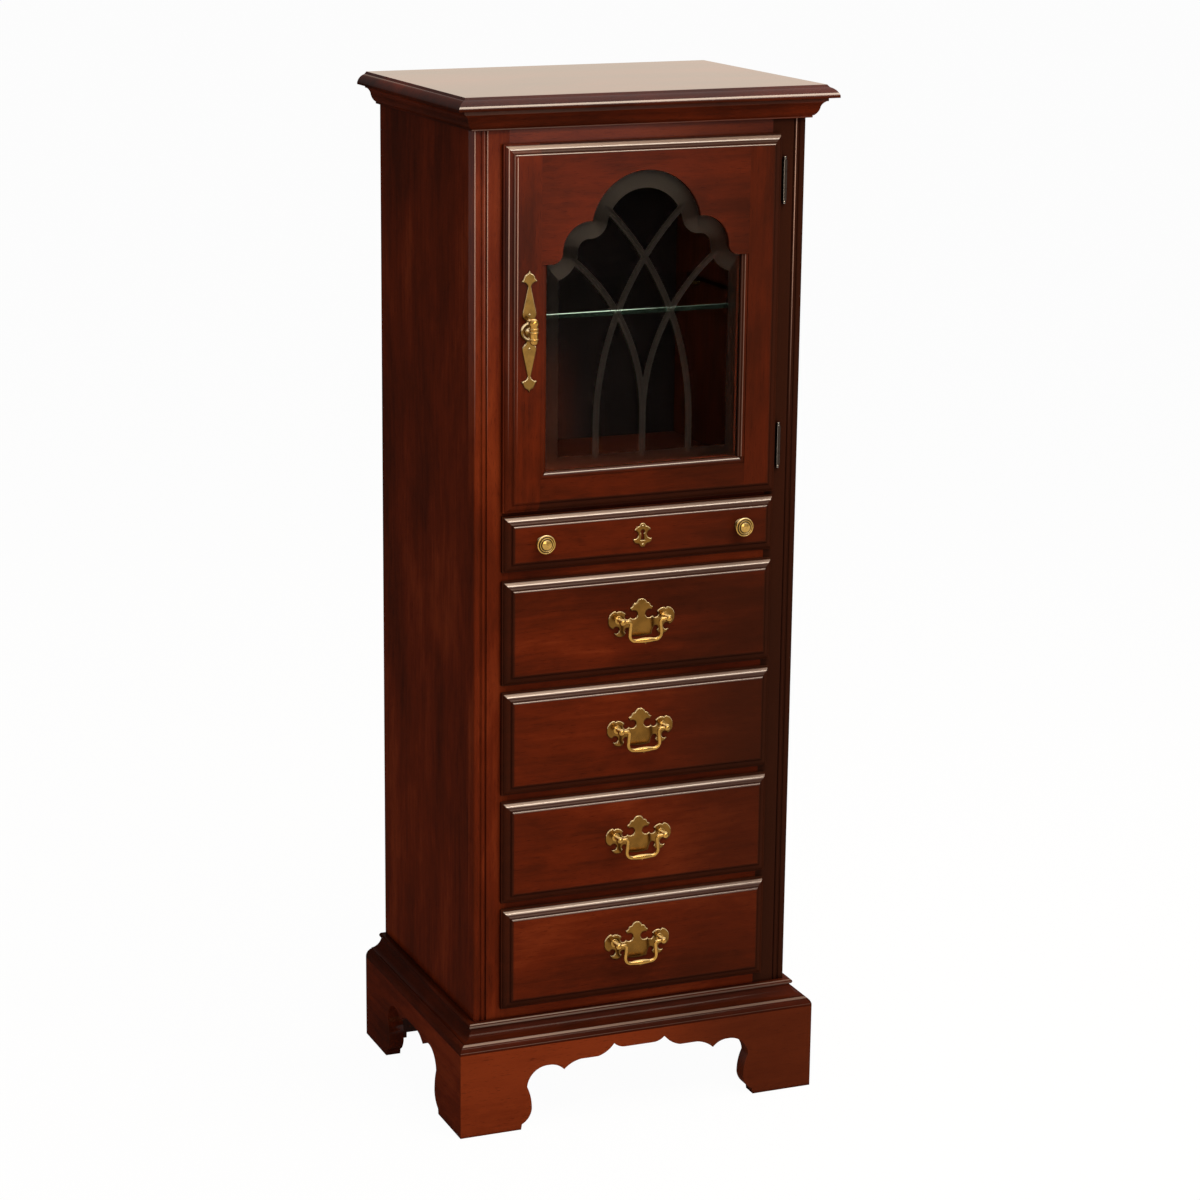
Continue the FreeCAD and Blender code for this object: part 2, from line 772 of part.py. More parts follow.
def bail_plate_outline():
    """Batwing plate with its lower edge near v = 0."""
    return symmetric([
        (0, 46.5),
        (6.2, 42.6, 3.9, 45.6),
        (7.4, 41.2),
        (11.2, 38.6, 10.0, 40.8),
        (15.2, 35.4, 12.9, 36.6),
        (13.2, 32.0),
        (14.9, 23.6, 4.9, 27.6),
        (21.3, 28.6, 21.8, 22.3),
        (30.5, 32.8, 25.4, 31.7),
        (33.2, 31.4),
        (36.2, 33.2, 34.5, 33.0),
        (44.2, 21.0, 42.5, 28.6),
        (37.8, 11.2, 42.8, 14.9),
        (36.2, 5.4, 29.4, 10.6),
        (27.6, 0.2, 33.0, 1.5),
        (21.4, 4.6, 23.5, 1.3),
        (15.6, 8.0, 19.4, 11.2),
        (13.4, 0.6, 14.1, 4.2),
        (0, -1.0, 6.8, -0.6),
    ])


def rounded_path(points, radii, w):
    """Wire in an xz plane with an arc of the given radius at each inner point."""
    edges = []
    start = V(points[0][0], w, points[0][1])
    for i, radius in enumerate(radii):
        corner = V(points[i + 1][0], w, points[i + 1][1])
        before = (V(points[i][0], w, points[i][1]) - corner).normalize()
        after = (V(points[i + 2][0], w, points[i + 2][1]) - corner).normalize()
        turn = before.getAngle(after)
        reach = radius / math.tan(turn / 2)
        enter = corner + before * reach
        leave = corner + after * reach
        inwards = (before + after).normalize()
        middle = corner + inwards * (radius / math.sin(turn / 2) - radius)
        edges.append(Part.LineSegment(start, enter).toShape())
        edges.append(Part.Arc(enter, middle, leave).toShape())
        start = leave
    edges.append(Part.LineSegment(start, V(points[-1][0], w, points[-1][1])).toShape())
    return Part.Wire(edges)


def make_bail_pull(lip_bottom):
    """Plate, posts with nuts, bail and bolt holes of one deep drawer's pull."""
    plate_middle = lip_bottom + DRAWER_HEIGHT / 2 + PLATE_RAISE
    plate_low = plate_middle - PLATE_MIDDLE
    pivot = plate_low + POST_RISE
    seat = drawer_face - PULL_PLATE
    swing = seat - POST_STANDOFF
    plate = prism("xz", mapped(bail_plate_outline(), lambda u, v: (u, plate_low + v)), drawer_face, seat)

    shank_end = drawer_inner + SHANK_TAIL
    hole = rod(SHANK_RADIUS + SHANK_FIT, V(POST_HALF, seat, pivot), V(POST_HALF, drawer_inner, pivot))
    ball_cut = math.sqrt(POST_BALL ** 2 - POST_STEM ** 2)
    post = turned([
        (0, 0),
        (POST_COLLAR, 0),
        (POST_COLLAR, POST_COLLAR_HEIGHT / 2),
        (POST_STEM, POST_COLLAR_HEIGHT),
        (POST_STEM, POST_STANDOFF - ball_cut),
        (0, POST_STANDOFF + POST_BALL, POST_BALL, POST_STANDOFF),
    ], V(POST_HALF, seat, pivot), V(0, -1, 0))
    shank = rod(SHANK_RADIUS, V(POST_HALF, seat, pivot), V(POST_HALF, shank_end, pivot))
    socket_start = V(POST_HALF - POST_BALL, swing, pivot)
    socket = rod(BAIL_WIRE + BAIL_FIT, socket_start, V(POST_HALF + BAIL_SOCKET, swing, pivot))
    post = post.fuse(shank).removeSplitter().cut(socket)
    nut_outline = [
        (POST_HALF + NUT_RADIUS * math.cos(k * math.pi / 3), pivot + NUT_RADIUS * math.sin(k * math.pi / 3))
        for k in range(6)
    ]
    nut = prism("xz", nut_outline, drawer_inner, drawer_inner + NUT)
    nut = nut.cut(rod(SHANK_RADIUS, V(POST_HALF, drawer_inner, pivot), V(POST_HALF, shank_end, pivot)))

    holes = both_sides(hole)
    bail = make_bail(swing, pivot)
    return plate.cut(group(holes)), both_sides(post) + both_sides(nut), bail, holes


def make_bail(swing, pivot):
    """Bent wire that swells towards its middle, with a small nub under it."""
    tip = POST_HALF + BAIL_SOCKET - BAIL_END_FIT
    low = pivot - BAIL_DROP
    path = rounded_path([
        (tip, pivot),
        (BAIL_NECK_HALF, pivot),
        (BAIL_FOOT_HALF, low),
        (BAIL_SWELL_HALF, low),
    ], [BAIL_NECK_ROUND, BAIL_FOOT_ROUND], swing)
    section = Part.Wire(Part.makeCircle(BAIL_WIRE, V(tip, swing, pivot), V(1, 0, 0)))
    arm = path.makePipeShell([section], True, False)
    swell_start = (BAIL_WIRE, -BAIL_SWELL_HALF)
    swell_end = (BAIL_WIRE, BAIL_SWELL_HALF)
    swell = turned([
        (0, -BAIL_SWELL_HALF),
        swell_start,
        bow(swell_start, swell_end, BAIL_WIRE - BAIL_SWELL),
        (0, BAIL_SWELL_HALF),
    ], V(0, swing, low), V(1, 0, 0))
    nub = Part.makeSphere(BAIL_NUB, V(0, swing, low - BAIL_SWELL))
    return swell.multiFuse([nub] + both_sides(arm)).removeSplitter()


def make_knobs():
    """Two turned knobs, each with rings stepping up to a domed middle."""
    centre_z = shallow_bottom + SHALLOW_HEIGHT / 2 + KNOB_RAISE
    level = KNOB_LENGTH - KNOB_DOME
    back_rim = (KNOB_RADIUS, level - KNOB_EDGE)
    profile = [
        (0, 0),
        (KNOB_FLANGE, 0),
        (KNOB_FLANGE, KNOB_FLANGE_HEIGHT),
        (KNOB_STEM, KNOB_STEM_START),
        (KNOB_STEM, KNOB_STEM_END),
        bow((KNOB_STEM, KNOB_STEM_END), back_rim, KNOB_BACK_SAG),
        (KNOB_RADIUS, level),
    ]
    radius = KNOB_RADIUS
    for ring in range(KNOB_RINGS):
        inner = radius - KNOB_RING
        profile.append(bow((radius, level), (inner, level), -KNOB_RING_RISE))
        radius = inner - KNOB_QUIRK
        profile.append((radius, level))
        level += KNOB_RING_STEP
        profile.append((radius, level))
    profile.append(cap((radius, level), KNOB_LENGTH))
    knob = turned(profile, V(KNOB_HALF_SPACING, drawer_face, centre_z), V(0, -1, 0))
    return both_sides(knob)


def make_escutcheon():
    """Keyhole plate; its keyhole is for show."""
    centre_z = shallow_bottom + SHALLOW_HEIGHT / 2
    outline = symmetric([
        (0, 15.0),
        (3.6, 11.4, 2.8, 14.0),
        (10.6, 6.4, 8.0, 9.8),
        (12.1, -4.6, 5.4, 0.8),
        (6.0, -10.2, 10.4, -8.8),
        (3.6, -11.8),
        (0, -14.8, 2.7, -14.0),
    ])
    keyhole = symmetric([
        (0, 7.2),
        (1.8, 1.8, 3.0, 4.4),
        (2.5, -6.4),
        (0, -6.4),
    ])
    place = lambda u, v: (u, centre_z + v)
    plate = prism("xz", mapped(outline, place), drawer_face - ESCUTCHEON, drawer_face)
    return plate.cut(prism("xz", mapped(keyhole, place), drawer_face - ESCUTCHEON, drawer_face))


# Door

sight_half = lip_half - DOOR_STILE - STICKING
sight_bottom = door_bottom + DOOR_SILL + STICKING
shoulder = door_top - SHOULDER_DROP
arch_centre = (0, door_top - ARCH_CENTRE_DROP)
lobe_centre = (LOBE_CENTRE, shoulder + FILLET_RADIUS)
fillet_centre = (LOBE_CENTRE + LOBE_RADIUS + FILLET_RADIUS, shoulder + FILLET_RADIUS)
glass_front = door_face + GLASS_SETBACK
glass_back = glass_front + GLASS


def circles_meet(c0, r0, c1, r1):
    """Upper meeting point of two circles."""
    du = c1[0] - c0[0]
    dv = c1[1] - c0[1]
    gap = math.hypot(du, dv)
    along = (r0 ** 2 - r1 ** 2 + gap ** 2) / (2 * gap)
    across = math.sqrt(r0 ** 2 - along ** 2)
    first = (c0[0] + (along * du - across * dv) / gap, c0[1] + (along * dv + across * du) / gap)
    second = (c0[0] + (along * du + across * dv) / gap, c0[1] + (along * dv - across * du) / gap)
    return max(first, second, key=lambda p: p[1])


def arc_between(centre, radius, start, end):
    """End of an arc about a centre, the short way round."""
    a0 = math.atan2(start[1] - centre[1], start[0] - centre[0])
    a1 = math.atan2(end[1] - centre[1], end[0] - centre[0])
    middle = (a0 + a1) / 2
    return (end[0], end[1], centre[0] + radius * math.cos(middle), centre[1] + radius * math.sin(middle))


def light_outline(grow):
    """Outline of the door's light, arched at the top, grown outwards by a margin."""
    jamb = sight_half + grow
    fillet = FILLET_RADIUS - grow
    lobe = LOBE_RADIUS + grow
    arch = ARCH_RADIUS + grow
    step = (fillet_centre[0], fillet_centre[1] - fillet)
    side = (fillet_centre[0] - fillet, fillet_centre[1])
    cusp = circles_meet(lobe_centre, lobe, arch_centre, arch)
    crown = (0, arch_centre[1] + arch)
    diagonal = fillet * math.sqrt(0.5)
    return symmetric([
        crown,
        arc_between(arch_centre, arch, crown, cusp),
        arc_between(lobe_centre, lobe, cusp, side),
        (step[0], step[1], fillet_centre[0] - diagonal, fillet_centre[1] - diagonal),
        (jamb, step[1]),
        (jamb, sight_bottom - grow),
        (0, sight_bottom - grow),
    ])


def sticking_cutter():
    """What the moulded inner edge takes away in front of the glass, up to the shoulder."""
    face_half = sight_half + STICKING
    face_bottom = sight_bottom - STICKING
    quirk = (STICKING, STICKING_QUIRK)
    foot = (0, STICKING_DEPTH)
    edge = [(STICKING, -SPARE), quirk, bow(quirk, foot, STICKING_SAG)]
    right = mapped(edge, lambda e, d: (sight_half + e, door_face + d))
    left = mapped(edge, lambda e, d: (-sight_half - e, door_face + d))
    low = mapped(edge, lambda e, d: (door_face + d, sight_bottom - e))
    across = prism("xy", right + reverse(left), face_bottom - SPARE, shoulder)
    reach = face_half + SPARE
    deep = prism(
        "yz", low + [(door_face + STICKING_DEPTH, shoulder), (door_face - SPARE, shoulder)], -reach, reach)
    return across.common(deep)


def make_door_frame():
    """Stiles, arched rail and bottom rail, cut from one moulded frame."""
    frame = lipped_front(door_bottom, door_top, door_lip_fit)
    y0 = door_face - SPARE
    y1 = door_back + SPARE
    frame = frame.cut(prism("xz", light_outline(0), y0, y1))
    frame = frame.cut(prism("xz", light_outline(GLASS_OVERLAP + GLASS_FIT), glass_front, y1))
    frame = frame.cut(sticking_cutter())
    joint = sight_half + STICKING
    far = lip_half + SPARE
    low = door_bottom - SPARE
    high = door_top + SPARE
    above = box(-joint, joint, y0, y1, shoulder, high)
    below = box(-joint, joint, y0, y1, low, sight_bottom)
    arched_rail = frame.common(above)
    bottom_rail = frame.common(below)
    stiles = frame.cut(group([above, below]))
    left = stiles.common(box(-far, 0, y0, y1, low, high))
    right = stiles.common(box(0, far, y0, y1, low, high))
    return left, right, arched_rail, bottom_rail


def sector(section, centre, corners):
    """Section of (radius, depth) turned about a centre on the pane, kept inside a fan of corners."""
    ring = turned(section, V(centre[0], glass_front, centre[1]), V(0, 1, 0))
    return ring.common(prism("xz", [centre] + corners, glass_front - 2 * SPARE, glass_back))


def beyond(start, end, reach):
    """Point a given distance from start on the way to end."""
    scale = reach / math.hypot(end[0] - start[0], end[1] - start[1])
    return (start[0] + (end[0] - start[0]) * scale, start[1] + (end[1] - start[1]) * scale)


def bevel_section(width):
    """Wedge of (distance in from the sight line, depth) that makes a bevel of a given width."""
    slope = BEVEL_DEPTH / width
    return [(-SPARE, -SPARE), (-SPARE, BEVEL_DEPTH + slope * SPARE), (width, 0), (width, -SPARE)]


def bevel_cutters():
    """Wedges that bevel the pane's face along its whole visible edge."""
    side_section = bevel_section(SIDE_BEVEL)
    section = bevel_section(BEVEL)
    y = glass_front
    reach = sight_half + SPARE
    low = sight_bottom - SPARE
    jamb = prism("xy", mapped(side_section, lambda e, d: (sight_half - e, y + d)), low, shoulder + SPARE)
    sill = prism("yz", mapped(side_section, lambda e, d: (y + d, sight_bottom + e)), -reach, reach)
    step = prism("yz", mapped(section, lambda e, d: (y + d, shoulder - e)), fillet_centre[0], reach)

    cusp = circles_meet(lobe_centre, LOBE_RADIUS, arch_centre, ARCH_RADIUS)
    far = 2 * ARCH_RADIUS
    arch_end = beyond(arch_centre, cusp, far)
    arch = sector(mapped(section, lambda e, d: (ARCH_RADIUS - e, d)), arch_centre, [
        arch_end,
        (arch_end[0], arch_end[1] + far),
        (-arch_end[0], arch_end[1] + far),
        (-arch_end[0], arch_end[1])])
    lobe_end = beyond(lobe_centre, cusp, far)
    lobe = sector(mapped(section, lambda e, d: (LOBE_RADIUS - e, d)), lobe_centre, [
        lobe_end, (lobe_centre[0] + far, lobe_end[1]), (lobe_centre[0] + far, lobe_centre[1])])
    point = sector([(0, -SPARE), (0, BEVEL_DEPTH), (BEVEL, 0), (BEVEL, -SPARE)], cusp, [
        beyond(cusp, arch_centre, far), beyond(cusp, lobe_centre, far)])
    round_corner = sector(mapped(section, lambda e, d: (FILLET_RADIUS + e, d)), fillet_centre, [
        (fillet_centre[0] - far, fillet_centre[1]),
        (fillet_centre[0] - far, fillet_centre[1] - far),
        (fillet_centre[0], fillet_centre[1] - far)])
    cutters = [sill, arch]
    for cutter in (jamb, step, lobe, point, round_corner):
        cutters += both_sides(cutter)
    return cutters


def groove_cutters():
    """V grooves of the interlaced tracery: outer pair, middle stem, inner pair."""
    y = glass_front
    w = GROOVE_WIDTH / 2
    v_section = [(-2 * w, -GROOVE_DEPTH), (0, GROOVE_DEPTH), (2 * w, -GROOVE_DEPTH)]
    foot = sight_bottom + GROOVE_START
    cutters = []
    runs = (
        (OUTER_STEM, OUTER_STEM_RISE, OUTER_CURVE, OUTER_CURVE_END, -1),
        (0, STEM_RISE, INNER_CURVE, INNER_CURVE_END, 1),
    )
    for x, rise, radius, top, turn in runs:
        bend = sight_bottom + rise
        end = sight_bottom + top
        stem = prism("xy", mapped(v_section, lambda e, d: (x + e, y + d)), foot, bend)
        centre = (x + turn * radius, bend)
        ring = turned(mapped(v_section, lambda e, d: (radius + e, d)), V(centre[0], y, centre[1]), V(0, 1, 0))
        reach = radius + GROOVE_WIDTH
        side = (centre[0] - reach, centre[0]) if turn > 0 else (centre[0], centre[0] + reach)
        ring = ring.common(box(side[0], side[1], y - 2 * SPARE, glass_back, bend, end))
        cutters += both_sides(ring)
        cutters += both_sides(stem) if x else [stem]
    return cutters


def make_glass():
    pane = prism("xz", light_outline(GLASS_OVERLAP), glass_front, glass_back)
    for cutter in bevel_cutters() + groove_cutters():
        pane = pane.cut(cutter)
    return pane


def make_glass_stops():
    """Strips that hold the pane at the sides and bottom, and turn buttons round the arch."""
    outer = sight_half + GLASS_OVERLAP
    low = sight_bottom - GLASS_OVERLAP
    y0 = glass_back
    y1 = glass_back + STOP
    side = box(outer - STOP, outer, y0, y1, low + STOP, shoulder)
    sill = box(-outer, outer, y0, y1, low, low + STOP)
    buttons = []
    for angle in BUTTON_ANGLES:
        reach = ARCH_RADIUS + GLASS_OVERLAP - BUTTON_RADIUS / 2
        x = arch_centre[0] + reach * math.cos(math.radians(angle))
        z = arch_centre[1] + reach * math.sin(math.radians(angle))
        disc = rod(BUTTON_RADIUS, V(x, y0, z), V(x, y0 + BUTTON, z))
        buttons.append(disc.common(prism("xz", light_outline(GLASS_OVERLAP), y0, y0 + BUTTON)))
    return both_sides(side) + [sill] + buttons


barrel_x = lip_half + BARREL_GAP + BARREL_RADIUS
barrel_y = -BARREL_LIFT - BARREL_RADIUS
hinge_levels = (door_bottom + HINGE_INSET, door_top - HINGE_INSET)


def make_hinges():
    """Case leaves, door leaves and pins of both hinges."""
    case_leaves = []
    door_leaves = []
    pins = []
    bore = PIN_RADIUS + PIN_FIT
    ball = TIP_NECK + math.sqrt(TIP_RADIUS ** 2 - PIN_RADIUS ** 2)
    for z in hinge_levels:
        hole = rod(bore, V(barrel_x, barrel_y, z - HINGE_LENGTH), V(barrel_x, barrel_y, z + HINGE_LENGTH))
        middle = BARREL_MIDDLE / 2
        end = HINGE_LENGTH / 2
        for low, high in ((-end, -middle - KNUCKLE_FIT), (middle + KNUCKLE_FIT, end)):
            knuckle = rod(BARREL_RADIUS, V(barrel_x, barrel_y, z + low), V(barrel_x, barrel_y, z + high))
            flange_x = opening_half - HINGE_LEAF
            leaf = box(flange_x, barrel_x, -HINGE_LEAF, 0, z + low, z + high)
            flange = box(flange_x, opening_half, -HINGE_LEAF, LEAF_RETURN, z + low, z + high)
            case_leaves.append(knuckle.multiFuse([leaf, flange]).removeSplitter().cut(hole))
        knuckle = rod(BARREL_RADIUS, V(barrel_x, barrel_y, z - middle), V(barrel_x, barrel_y, z + middle))
        leaf_x = core_half + HINGE_LEAF_FIT
        leaf = box(leaf_x, barrel_x, -door_lip_fit, -door_lip_fit + HINGE_LEAF, z - middle, z + middle)
        door_leaves.append(knuckle.fuse(leaf).removeSplitter().cut(hole))
        pin = rod(PIN_RADIUS, V(barrel_x, barrel_y, z - end), V(barrel_x, barrel_y, z + end))
        for way in (-1, 1):
            tip = turned([
                (0, 0),
                (TIP_COLLAR, 0),
                (PIN_RADIUS, TIP_NECK),
                (0, ball + TIP_RADIUS, TIP_RADIUS, ball),
            ], V(barrel_x, barrel_y, z + way * end), V(0, 0, way))
            pin = pin.fuse(tip)
        pins.append(pin.removeSplitter())
    return case_leaves, door_leaves, pins


def make_catch():
    """Magnetic catch under the top rail and its strike on the arched rail."""
    top = door_top - LIP_OVERLAP
    strike_face = door_back + STRIKE
    x0 = -opening_half + CATCH_INSET
    catch = box(x0, x0 + CATCH_WIDTH, strike_face + CATCH_FIT, FRAME_THICKNESS, top - CATCH_HEIGHT, top)
    strike = box(
        x0 + STRIKE_INSET, x0 + CATCH_WIDTH - STRIKE_INSET, door_back, strike_face,
        top - CATCH_HEIGHT, top - STRIKE_INSET)
    return catch, strike


pull_x = -(lip_half - (RIM_FILLET + OVOLO + EDGE_STEP + INNER_OVOLO) + sight_half + STICKING) / 2
pull_z = (door_bottom + door_top) / 2
pull_seat = door_face - PULL_PLATE
drop_pivot = V(pull_x, pull_seat - DROP_STANDOFF, pull_z + DROP_PIVOT)


def across_pivot(radius, half_length):
    """Rod through the drop's pivot, along x."""
    reach = V(half_length, 0, 0)
    return rod(radius, drop_pivot - reach, drop_pivot + reach)


def make_pull_plate():
    """Spear-tipped plate with a rosette, and the tongue and pin that carry the drop."""
    flare = PULL_HALF_HEIGHT - SPEAR_LENGTH
    neck = flare - SPEAR_NECK_LENGTH
    join = math.sqrt(ROSETTE_RADIUS ** 2 - BLADE_END_HALF ** 2)
    tip = (0, PULL_HALF_HEIGHT)
    nib = (SPEAR_NIB_HALF, PULL_HALF_HEIGHT - SPEAR_NIB)
    dome = (SPEAR_DOME_HALF, PULL_HALF_HEIGHT - SPEAR_DOME)
    ear = (SPEAR_HALF, flare)
    quarter = [
        tip,
        bow(tip, nib, -SPEAR_NIB_SAG),
        bow(nib, dome, SPEAR_DOME_SAG),
        bow(dome, ear, -SPEAR_FLARE_SAG),
        bow(ear, (NECK_HALF, neck), -SPEAR_NECK_SAG),
        (BLADE_HALF, BLADE_FOOT),
        bow((BLADE_HALF, BLADE_FOOT), (BLADE_END_HALF, BLADE_END), BLADE_FOOT_SAG),
        (BLADE_END_HALF, join),
    ]
    lower = reverse(mapped(quarter, lambda u, v: (u, -v)))
    lower[0] = lower[0] + (ROSETTE_RADIUS, 0)
    outline = mapped(symmetric(quarter + lower), lambda u, v: (pull_x + u, pull_z + v))
    plate = prism("xz", outline, pull_seat, door_face)
    rim = (ROSETTE_RADIUS, ROSETTE_DISH)
    dish = (ROSETTE_RADIUS - ROSETTE_RIM, ROSETTE_DISH)
    rosette = turned([
        (0, 0),
        (ROSETTE_RADIUS, 0),
        rim,
        bow(rim, dish, -ROSETTE_RIM / 2),
        (ROSETTE_BOSS, ROSETTE_DISH),
        cap((ROSETTE_BOSS, ROSETTE_DISH), ROSETTE_DOME),
    ], V(pull_x, pull_seat, pull_z), V(0, -1, 0))
    tongue = box(
        pull_x - TONGUE_HALF, pull_x + TONGUE_HALF, drop_pivot.y, pull_seat,
        drop_pivot.z - TONGUE_RADIUS, drop_pivot.z + TONGUE_RADIUS)
    tongue_end = across_pivot(TONGUE_RADIUS, TONGUE_HALF)
    pin = across_pivot(DROP_PIN_RADIUS, DROP_PIN_HALF)
    return plate.multiFuse([rosette, tongue, tongue_end, pin]).removeSplitter()


def drop_slot():
    """Room in the drop's ball for the tongue, over the whole swing."""
    clear = TONGUE_RADIUS + TONGUE_FIT
    width = TONGUE_HALF + TONGUE_FIT
    reach = 2 * DROP_RADIUS
    low, high = (math.radians(angle) for angle in DROP_SWING)
    middle = (low + high) / 2
    low_way = (math.cos(low), math.sin(low))
    high_way = (math.cos(high), math.sin(high))
    low_start = (clear * low_way[1], -clear * low_way[0])
    high_start = (-clear * high_way[1], clear * high_way[0])
    fan = [
        low_start,
        (low_start[0] + reach * low_way[0], low_start[1] + reach * low_way[1]),
        (2 * reach * math.cos(middle), 2 * reach * math.sin(middle)),
        (high_start[0] + reach * high_way[0], high_start[1] + reach * high_way[1]),
        high_start,
    ]
    fan = mapped(fan, lambda u, v: (drop_pivot.y + u, drop_pivot.z + v))
    slot = prism("yz", fan, pull_x - width, pull_x + width)
    return slot.fuse(across_pivot(clear, width))


def make_pull_drop():
    """Ball and ringed pendant, slotted for the tongue and bored for its pin."""
    neck = math.sqrt(DROP_RADIUS ** 2 - DROP_WAIST ** 2)
    profile = [(0, -DROP_RADIUS), (DROP_WAIST, neck, DROP_RADIUS, 0)]
    for level in DROP_RINGS:
        ring_start = (DROP_WAIST, level - DROP_RING / 2)
        ring_end = (DROP_WAIST, level + DROP_RING / 2)
        profile += [ring_start, bow(ring_start, ring_end, DROP_WAIST - DROP_RADIUS)]
    profile.append(cap(profile[-1][:2], DROP_LENGTH))
    drop = turned(profile, drop_pivot, V(0, 0, -1))
    return drop.cut(drop_slot()).cut(across_pivot(DROP_PIN_RADIUS + PIN_FIT, 2 * DROP_RADIUS))


# The pieces by name

def build():
    parts = {}
    parts["top_board"] = make_top_board()
    parts["cornice"] = group(make_cornice())
    parts["side_panel_right"] = make_side_panel()
    parts["side_panel_left"] = mirror_x(parts["side_panel_right"])
    parts["stile_right"] = make_stile()
    parts["stile_left"] = mirror_x(parts["stile_right"])
    parts["top_rail"] = make_rail(door_top - LIP_OVERLAP, case_top)
    parts["door_sill_rail"] = make_rail(opening_of(shallow_bottom, SHALLOW_HEIGHT)[1], cupboard_floor)
    parts["drawer_rails"] = group(make_drawer_rails())
    parts["bottom_rail"] = make_rail(BASE_HEIGHT, opening_of(deep_bottoms[0], DRAWER_HEIGHT)[0])
    rebate_half = half - SIDE_THICKNESS + BACK_REBATE
    parts["back_panel"] = box(-rebate_half, rebate_half, panel_front, back, BASE_HEIGHT, case_top)
    parts["cupboard_floor"] = make_inner_board(cupboard_floor - FLOOR_THICKNESS, cupboard_floor)
    parts["case_bottom"] = make_inner_board(BASE_HEIGHT, BASE_HEIGHT + BOTTOM_THICKNESS)
    parts["drawer_runners"] = group(make_drawer_runners())
    cleat = box(inner_half - CLEAT, inner_half, FRAME_THICKNESS, panel_front, case_top - CLEAT, case_top)
    parts["top_cleats"] = group(both_sides(cleat))
    parts["glass_shelf"] = make_glass_shelf()
    pins = make_shelf_pins()
    parts["shelf_pins"] = group(pins + [mirror_x(pin) for pin in pins])

    parts["base_moulding"] = group(make_base_moulding())
    parts["apron_front"] = make_front_apron()
    parts["apron_right"] = make_side_apron()
    parts["apron_left"] = mirror_x(parts["apron_right"])
    parts["back_brackets"] = group(both_sides(make_back_bracket()))
    blocks = make_glue_blocks()
    parts["glue_blocks"] = group(blocks + [mirror_x(block) for block in blocks])

    left, right, arched_rail, bottom_rail = make_door_frame()
    parts["door_stile_left"] = left
    parts["door_stile_right"] = right
    parts["door_arched_rail"] = arched_rail
    parts["door_bottom_rail"] = bottom_rail
    parts["door_glass"] = make_glass()
    parts["glass_stops"] = group(make_glass_stops())
    case_leaves, door_leaves, hinge_pins = make_hinges()
    parts["hinge_case_leaves"] = group(case_leaves)
    parts["hinge_door_leaves"] = group(door_leaves)
    parts["hinge_pins"] = group(hinge_pins)
    parts["door_catch"], parts["catch_strike"] = make_catch()
    parts["door_pull_plate"] = make_pull_plate()
    parts["door_pull_drop"] = make_pull_drop()

    front, boards = make_drawer(shallow_bottom, SHALLOW_HEIGHT)
    parts["shallow_drawer_front"] = front
    parts["shallow_drawer_box"] = group(boards)
    parts["shallow_drawer_knobs"] = group(make_knobs())
    parts["keyhole_escutcheon"] = make_escutcheon()

    # Deep drawers are numbered from the top
    for number, lip_bottom in enumerate(reversed(deep_bottoms), start=1):
        front, boards = make_drawer(lip_bottom, DRAWER_HEIGHT)
        plate, posts, bail, holes = make_bail_pull(lip_bottom)
        parts[f"drawer_{number}_front"] = front.cut(group(holes))
        parts[f"drawer_{number}_box"] = group(boards)
        parts[f"drawer_{number}_plate"] = plate
        parts[f"drawer_{number}_posts"] = group(posts)
        parts[f"drawer_{number}_bail"] = bail
    return parts


os.makedirs("parts", exist_ok=True)
for name, shape in build().items():
    shape.translated(V(0, -origin_y, 0)).exportStep(f"parts/{name}.step")
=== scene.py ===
import math

import bpy
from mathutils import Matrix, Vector


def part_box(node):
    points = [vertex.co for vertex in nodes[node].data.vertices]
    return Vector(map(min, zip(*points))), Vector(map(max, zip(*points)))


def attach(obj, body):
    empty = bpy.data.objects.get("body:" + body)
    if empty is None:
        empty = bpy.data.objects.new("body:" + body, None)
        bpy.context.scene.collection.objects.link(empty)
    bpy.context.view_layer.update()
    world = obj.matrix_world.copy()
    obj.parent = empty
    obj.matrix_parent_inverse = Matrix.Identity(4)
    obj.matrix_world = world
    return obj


# A tall narrow chest in dark lacquered cherry with brass pulls and an arched, bevelled glass door.
# Metres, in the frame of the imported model: the floor is z = 0 and the front faces -Y.

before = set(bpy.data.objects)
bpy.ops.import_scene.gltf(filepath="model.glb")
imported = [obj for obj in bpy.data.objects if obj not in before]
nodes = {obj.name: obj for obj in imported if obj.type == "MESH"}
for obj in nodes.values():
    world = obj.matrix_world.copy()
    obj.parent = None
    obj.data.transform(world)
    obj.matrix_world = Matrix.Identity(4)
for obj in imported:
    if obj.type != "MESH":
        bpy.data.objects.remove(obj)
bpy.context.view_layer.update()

FACE_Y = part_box("stile_left")[0].y
CASE_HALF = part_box("side_panel_right")[1].x
MM = 0.001

# The photograph's camera, measured from the middle of the face frame at floor level
CAMERA_PLACE = (-1.5213, -3.4711, 1.6636)
CAMERA_YAW = 20.445
CAMERA_PITCH = -14.578
CAMERA_LENS = 94.66
CAMERA_SHIFT = (0.1125, -0.0047)


# Shader expressions

EDGE_SAMPLES = 4


